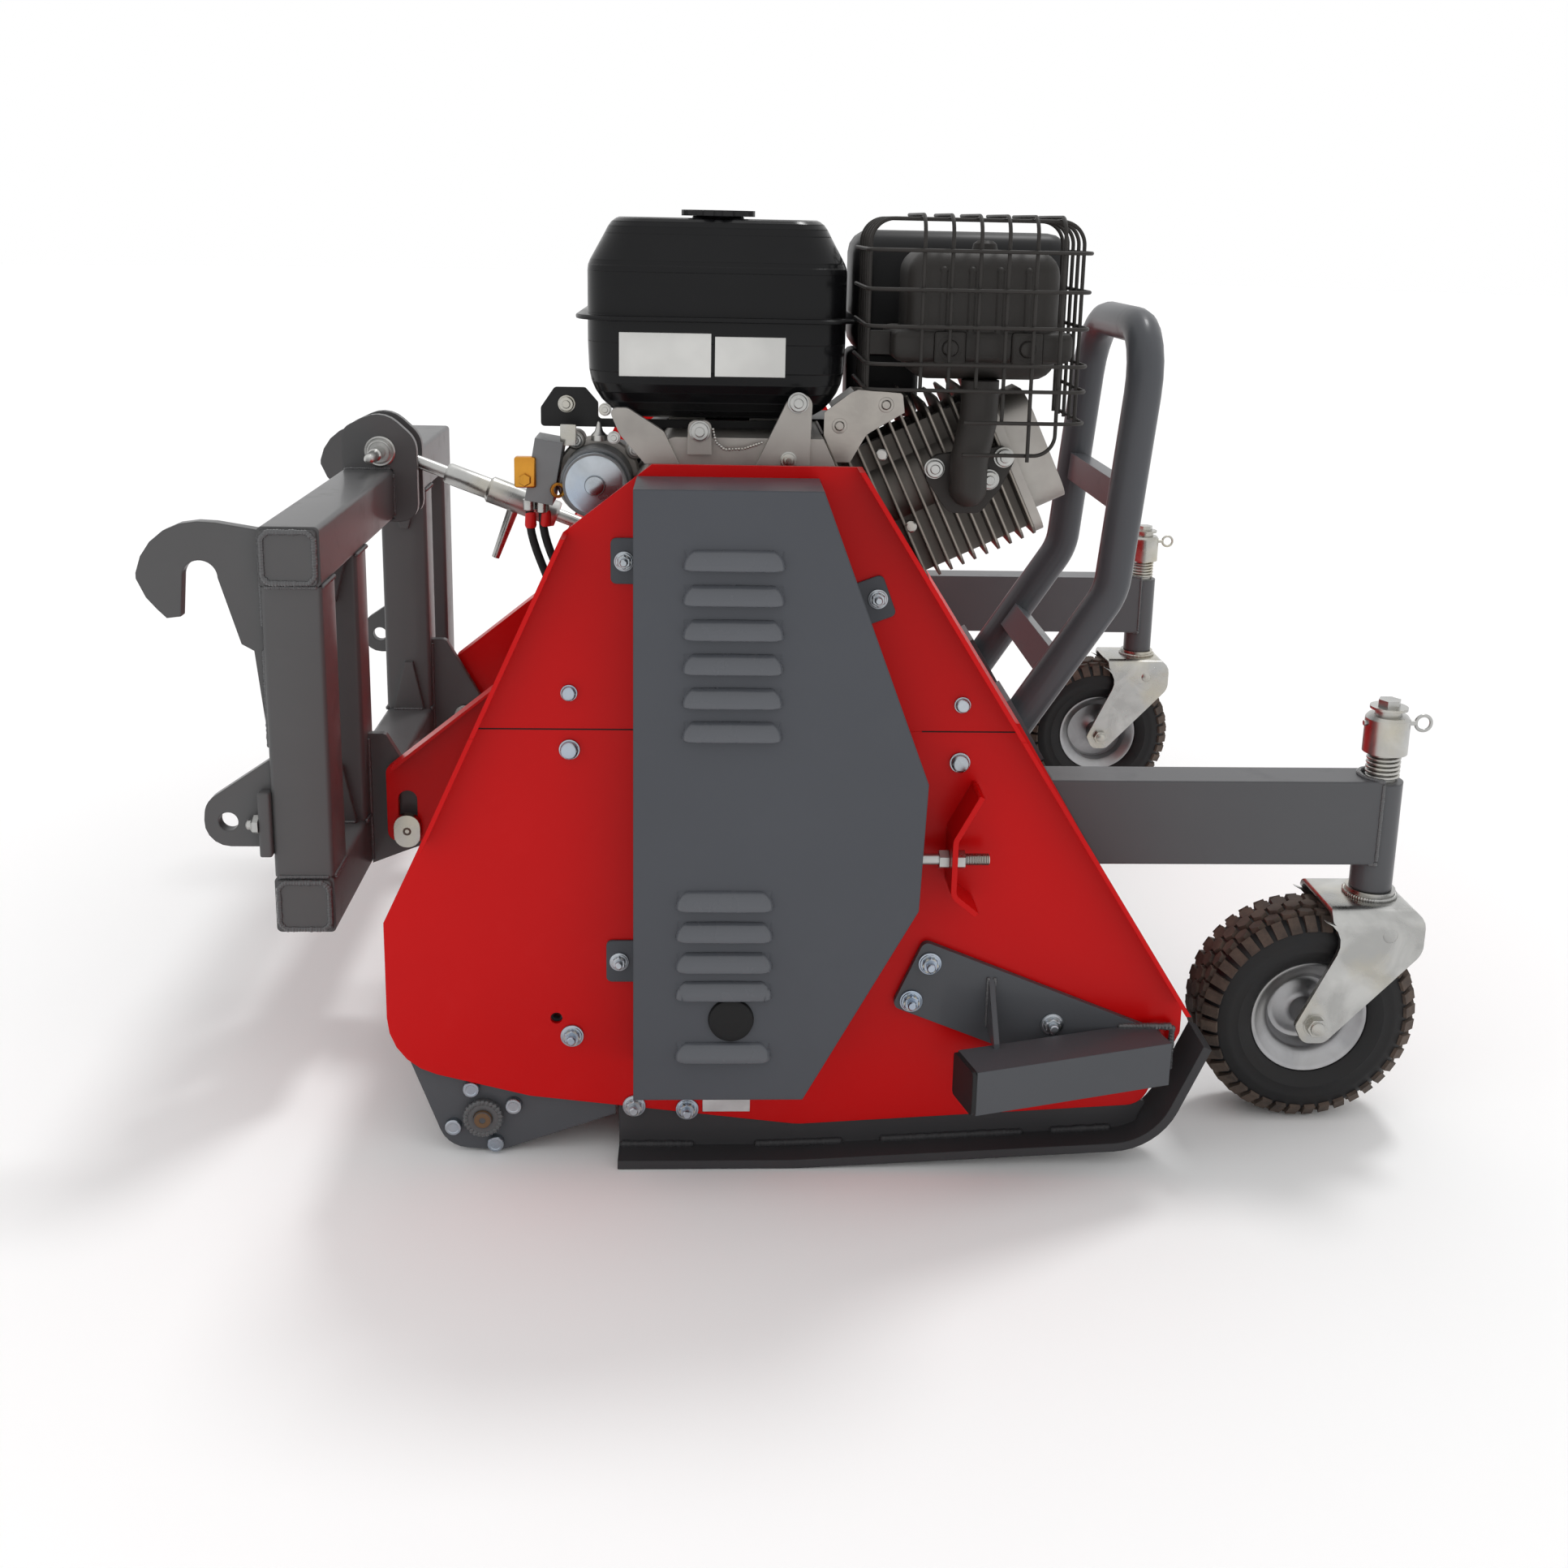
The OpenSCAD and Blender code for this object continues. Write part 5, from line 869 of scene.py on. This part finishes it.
# %% [markdown]
# The engine's cylinder leans forward by 25 degrees, so its pieces are placed in a frame of their own.
# Each cast fin is dark, and a thin strip of lighter metal along its edge makes that edge bright.

# %% The fins' bright edges
CYLINDER = Matrix.Translation(at(100, -505.5, 665)) @ Matrix.Rotation(math.radians(-25), 4, "Y")
FINS, TALL_FINS, FIRST_FIN, FIN_PITCH = 13, 8, 130.1, 14
FIN_FACE, FIN_FOOT, TALL_FIN, LOW_FIN = 65, -92, 93, 79
PLUG = [(0, 2.6), (4.8, 2.4), (6.4, 1.2), (6.6, -4), (0, -4)]


def leaning_box(bm, u, v, w):
    """A box in the cylinder's frame: u along the cylinder, w across, v along a fin, in millimetres."""
    size = [(b - a) * MM for a, b in (u, w, v)]
    middle = Matrix.Translation([(a + b) / 2 * MM for a, b in (u, w, v)])
    bmesh.ops.create_cube(bm, size=1, matrix=CYLINDER @ middle @ Matrix.Diagonal((*size, 1)))


bm = bmesh.new()
for k in range(FINS):
    u, high = FIRST_FIN + FIN_PITCH * k, TALL_FIN if k < TALL_FINS else LOW_FIN
    for w in (-FIN_FACE, FIN_FACE):
        leaning_box(bm, (u + 0.7, u + 2.3), (FIN_FOOT, high - 10), (w - 0.35, w + 0.35))
    leaning_box(bm, (u + 0.7, u + 2.3), (high - 0.3, high + 0.35), (10 - FIN_FACE, FIN_FACE - 10))
made(bm, "fin_edges", "deck", FIN_EDGE, "fin_alloy")
bm = bmesh.new()
for x, z in ((243.4, 784.4), (277.6, 706.8)):
    turn(bm, PLUG, sideways(x, -570.5, z), 24)
made(bm, "fin_plugs", "deck", STEEL, "zinc_plate")
print("cylinder:", FINS, "fins with bright edges")

# %% [markdown]
# The tank is two pressed shells that meet in a rolled seam. One rounded rectangle, extruded level by
# level and scaled at each, gives both shells and the seam, and the filler hole is left open under
# the cap.

# %% The fuel tank
TANK_X, TANK_Y, TANK_W, TANK_D, TANK_TOP = 66, -450.5, 272, 290, 1027
FILLER_Y, FILLER_R = -529.5, 27
LEVELS = [(819, 48), (819.5, 39), (822.5, 30), (829, 21), (838, 13.5), (848, 7.5), (858, 3.5), (870, 1.2),
          (900, 0), (972, 0), (978, 0.7), (983, 2.6), (1010, 17), (1017, 20.5), (1022, 24), (1025.5, 28.5),
          (TANK_TOP, 32)]
SEAM = [(922.8, 1.6), (923.2, 0.4), (924.6, 0), (926, 0), (927.2, 0.6), (927.6, 2)]
NECK = [(24, 1004), (24, 1028.6), (24.8, 1029.2), (26.4, 1029.2), (27.2, 1028.4), (27.4, 1026.6)]


def rounded_slab(bm, width, depth, corner, levels):
    """A rounded rectangle raised through levels of (height, shrink), in millimetres, on the z axis."""
    grid = bmesh.ops.create_grid(bm, x_segments=1, y_segments=1, size=0.5)["verts"]
    bmesh.ops.scale(bm, vec=(width * MM, depth * MM, 1), verts=grid)
    rounded = bmesh.ops.bevel(bm, geom=grid, offset=corner * MM, segments=8, profile=0.5, affect="VERTICES",
                              material=-1)["verts"]
    face = next(f for f in rounded[0].link_faces)
    z, shrink = 0.0, 0.0
    for height, next_shrink in levels:
        verts = list(face.verts)
        if z:
            grown = bmesh.ops.extrude_face_region(bm, geom=[face])["geom"]
            verts = [v for v in grown if isinstance(v, bmesh.types.BMVert)]
            face = next(f for f in grown if isinstance(f, bmesh.types.BMFace))
        bmesh.ops.scale(bm, verts=verts, vec=((width - 2 * next_shrink) / (width - 2 * shrink),
                                              (depth - 2 * next_shrink) / (depth - 2 * shrink), 1))
        bmesh.ops.translate(bm, verts=verts, vec=(0, 0, (height - z) * MM))
        z, shrink = height, next_shrink
    return face


bm = bmesh.new()
top = rounded_slab(bm, TANK_W, TANK_D, 40, LEVELS)
rim_edges = list(top.edges)
bmesh.ops.delete(bm, geom=[top], context="FACES_ONLY")
filler = Matrix.Translation((0, (FILLER_Y - TANK_Y) * MM, 0))
circle = bmesh.ops.create_circle(bm, cap_ends=False, segments=36, radius=FILLER_R * MM,
                                 matrix=filler @ Matrix.Translation((0, 0, TANK_TOP * MM)))["verts"]
hole_edges = list({e for v in circle for e in v.link_edges})
bmesh.ops.triangle_fill(bm, edges=rim_edges + hole_edges, use_beauty=True, use_dissolve=False)
rounded_slab(bm, TANK_W + 24, TANK_D + 22, 46, SEAM)
turn(bm, NECK, filler, 36)
bmesh.ops.translate(bm, vec=at(TANK_X, TANK_Y, 0), verts=bm.verts[:])
tank = made(bm, "tank_shells", "deck", TANK, "tank_black", ["fuel_tank"], sharp=math.radians(28))
print("tank:", len(tank.data.polygons), "faces")
bm = bmesh.new()
block(bm, at(-35, -596.1, 866), at(60, -594, 911), 0.3)
block(bm, at(64, -596.1, 867), at(137, -594, 908), 0.3)
made(bm, "tank_plates", "deck", PALE, "tank_black")

# %% [markdown]
# The muffler is a pressed box with pillowed sides, stiffening ribs and a clamp band. The air cleaner
# behind it is a moulded box with soft edges on its duct.

# %% The muffler and the air cleaner
SHELL_OUT, SHELL_IN = -609.5, -491.5
RIBS, FIRST_RIB, RIB_PITCH, RIB_R, RIB_LOW, RIB_HIGH = 4, 297, 29.2, 4.2, 905, 980
BOSS = [(0, 5), (5.6, 5), (7.4, 4), (8, 2.4), (8.2, 0), (13, -0.2), (13, -3), (0, -3)]
CROWN = [(0, 11), (8, 11), (12, 8), (13.4, 3), (14, -2), (0, -2)]
bm = bmesh.new()
block(bm, at(262, SHELL_OUT, 868), at(421, SHELL_IN, 1000), 24, 5)
for k in range(RIBS):
    x = FIRST_RIB + RIB_PITCH * k
    for y in (SHELL_OUT + 1.6, SHELL_IN - 1.6):
        low, high = at(x, y, RIB_LOW), at(x, y, RIB_HIGH)
        rod(bm, low, high, RIB_R, 16)
        for end in (low, high):
            bmesh.ops.create_uvsphere(bm, u_segments=16, v_segments=10, radius=RIB_R * MM,
                                      matrix=Matrix.Translation(end))
block(bm, at(247, SHELL_OUT - 6, 887), at(434, SHELL_IN + 4, 919), 9, 4)
for x in (305, 385):
    block(bm, at(x - 16.5, SHELL_OUT - 9.2, 885), at(x + 16.5, SHELL_OUT - 4, 919), 3.4, 3)
    turn(bm, BOSS, sideways(x, SHELL_OUT - 9, 902), 28)
turn(bm, CROWN, facing(at(345.5, -559.5, 999), (0, 0, 1)), 32)
made(bm, "muffler_shell", "deck", HEAT, "heat_black", ["muffler"])
bm = bmesh.new()
block(bm, at(220, -430.5, 876), at(468, -300.5, 1018), 26, 4)
block(bm, at(216, -410.5, 806.2), at(300, -350.5, 884), 9, 3)
made(bm, "air_cleaner_box", "deck", PLASTIC, "black_plastic", ["air_cleaner"])
print("muffler with", RIBS, "ribs a side, air cleaner with its duct")

# %% [markdown]
# Flanged bolts hold the exhaust's plate and the tank's brackets. A satin sheet keeps the heat of the
# head off the tank, and a short chain of small balls hangs below it.

# %% The engine's bolts and heat shield
FLANGE = [(0, 9.6), (4.4, 9.6), (5, 9), (5.2, 7.6), (8.4, 7.4), (9.4, 6.4), (9.4, 2), (11, 1.8), (11.2, 0),
          (0, 0)]
EXHAUST_Y, BRACKET_OUT, SHEET_Y = -580.5, -603.6, -573.1
LARGE_BOLTS = [(299, EXHAUST_Y, 772), (358, EXHAUST_Y, 761), (373, EXHAUST_Y, 785),
               (151, BRACKET_OUT, 842), (49, BRACKET_OUT, 811)]
SMALL_BOLTS = [((-49, BRACKET_OUT, 832), 0.6), ((-40, BRACKET_OUT, 803), 0.6),
               ((142, BRACKET_OUT, 782), 0.8), ((-96, -519.5, 828), 0.85)]
SHEET = [(194, 776), (209, 776), (226, 806), (240, 815), (266, 830), (263.6, 848.6), (261, 850.6),
         (216, 853.6), (208, 850), (180.4, 829), (180.4, 804.6)]
SHEET_EDGE = [(188.8, 832.6), (212.4, 850.6), (260, 848.6), (260, 845.6), (213.4, 847.2), (190.9, 830.6)]
RIVET = [(0, 2.2), (4, 2), (5.4, 0.6), (8, 0.3), (8, -1), (0, -1)]
CHAIN = [(62.4, -604.6, 814.7), (66, -605, 800), (75.2, -605, 792.3), (95, -605, 793.5),
         (115.1, -604.6, 800.5)]
bm = bmesh.new()
for place in LARGE_BOLTS:
    turn(bm, FLANGE, sideways(*place), 32)
for place, factor in SMALL_BOLTS:
    turn(bm, scaled(FLANGE, factor), sideways(*place), 28)
made(bm, "engine_fasteners", "deck", ZINC, "zinc_plate")
bm = bmesh.new()
plate(bm, SHEET, SHEET_Y, SHEET_Y + 3, 0.8)
plate(bm, SHEET_EDGE, -571, -510, 0.4)
for x, z in ((197, 815), (246, 838)):
    turn(bm, RIVET, sideways(x, SHEET_Y, z), 24)
made(bm, "heat_sheet", "deck", SATIN, "cast_alloy")
bm = bmesh.new()
weld(bm, [at(*place) for place in CHAIN], 1.7, 1.9)
made(bm, "bead_chain", "deck", STEEL, "zinc_plate")
print("engine fasteners, heat sheet and chain")

# %% [markdown]
# The starter is a plated can with a domed cover, held by a cast ring. Its solenoid has a brass block
# and clamp, and terminals under red caps, where two thick cables end.

# %% The starter
STARTER_X, STARTER_Z, STARTER_BACK = -62, 748, -512
LUGS = ((-86, 789.8), (-21.7, 779.8))
CABLE_Y, CABLE_R = -551.5, 4.5
CABLE_STEPS, PLATFORM_Z, BEND_TOP, BEND = 24, 508.2, 708, 116
COVER = [(0, 18.7), (8, 18.7), (10.4, 17.6), (11, 15.6), (11, 12.9), (13, 12.6), (27, 12.6), (31.5, 11.8),
         (34.4, 9.4), (35, 6), (35, 0), (0, 0)]
RING_BAND = [(38.2, 0), (44, 0), (46, 2), (46, 12), (44, 14), (38.2, 14), (38.2, 0)]
LUG = [(0, 16), (9, 16), (10.4, 14.6), (11, 0), (0, 0)]
TERMINAL = [(0, 6), (5.6, 6), (7, 4.8), (7, -6), (0, -6)]
SPIKE = [(0, 15), (1.6, 14), (4.6, 4), (8.4, 0), (8.4, -6), (0, -6)]
CLAMP = [(5.2, 2.4), (8, 2.4), (8.4, 0), (8, -2.4), (5.2, -2.4), (5.2, 2.4)]
CAP = [(0, 9), (4.6, 8.4), (5.8, 6), (6.4, -6), (5.4, -9), (0, -9)]
bm = bmesh.new()
turn(bm, COVER, sideways(STARTER_X, -563.7, STARTER_Z), 56)
made(bm, "starter_cover", "deck", BLUE_ZINC, "zinc_plate")
bm = bmesh.new()
turn(bm, RING_BAND, sideways(STARTER_X, STARTER_BACK, STARTER_Z), 56)
for x, z in LUGS:
    turn(bm, LUG, sideways(x, STARTER_BACK, z), 28)
made(bm, "starter_ring", "deck", ALLOY, "cast_alloy")
bm = bmesh.new()
for x, z in LUGS:
    turn(bm, scaled(FLANGE, 0.72), sideways(x, STARTER_BACK - 16, z), 28)
for x, z in ((-134, 722), (-120, 719.6)):
    turn(bm, TERMINAL, facing(at(x, CABLE_Y, z), (0, 0, -1)), 20)
turn(bm, SPIKE, facing(at(-59.5, -545, 798), (0, 0, 1)), 20)
block(bm, at(-100, -556, 787), at(-83, -553, 810), 0.8, 2)
made(bm, "starter_fittings", "deck", ZINC, "zinc_plate")
bm = bmesh.new()
block(bm, at(-148, -569.5, 743), at(-125, -556, 776), 2.4, 3)
hexagon(bm, sideways(-136.5, -569.3, 752), 7, 4.4)
turn(bm, CLAMP, facing(at(-102, -569, 741), (0.5, -1, 0.2)), 24)
made(bm, "starter_brass", "deck", BRASS, "zinc_plate")
bm = bmesh.new()
for x, z in ((-133, 706), (-117, 708)):
    turn(bm, CAP, facing(at(x, CABLE_Y, z), (0, 0, 1)), 24)
made(bm, "terminal_caps", "deck", RED_CAP, "red_paint")


def cable(name, x, z, x_end):
    """A smooth cable from the terminal at (x, z) down to the engine's platform."""
    points = []
    for k in range(CABLE_STEPS + 1):
        height = z + (PLATFORM_Z - z) * k / CABLE_STEPS
        t = min(1, max(0, (BEND_TOP - height) / BEND))
        points.append(at(x + (x_end - x) * t * t * (3 - 2 * t), CABLE_Y, height))
    curve = bpy.data.curves.new(name, "CURVE")
    curve.dimensions = "3D"
    curve.bevel_depth = CABLE_R * MM
    curve.bevel_resolution = 5
    curve.use_fill_caps = True
    spline = curve.splines.new("POLY")
    spline.points.add(CABLE_STEPS)
    for point, place in zip(spline.points, points):
        point.co = (*place, 1)
    spline.use_smooth = True
    curve.materials.append(RUBBER.material)
    thing = bpy.data.objects.new(name, curve)
    bpy.context.scene.collection.objects.link(thing)
    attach(thing, "deck")
    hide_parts("starter_cables")


cable("starter_cable_plus", -134, 727, -104)
cable("starter_cable_minus", -120, 724.6, -88)

# %% [markdown]
# The floor lies just under the soles of the skids, so that the soles themselves stay visible.

# %% The floor and the end
bm = bmesh.new()
bmesh.ops.create_circle(bm, cap_ends=True, segments=64, radius=30)
mesh = bpy.data.meshes.new("floor")
bm.to_mesh(mesh)
bm.free()
floor = bpy.data.objects.new("floor", mesh)
bpy.context.scene.collection.objects.link(floor)
pale = Finish("pale_floor", (0.97, 0.97, 0.97), 0.9)
mesh.materials.append(pale.material)
floor.location.z = -MM
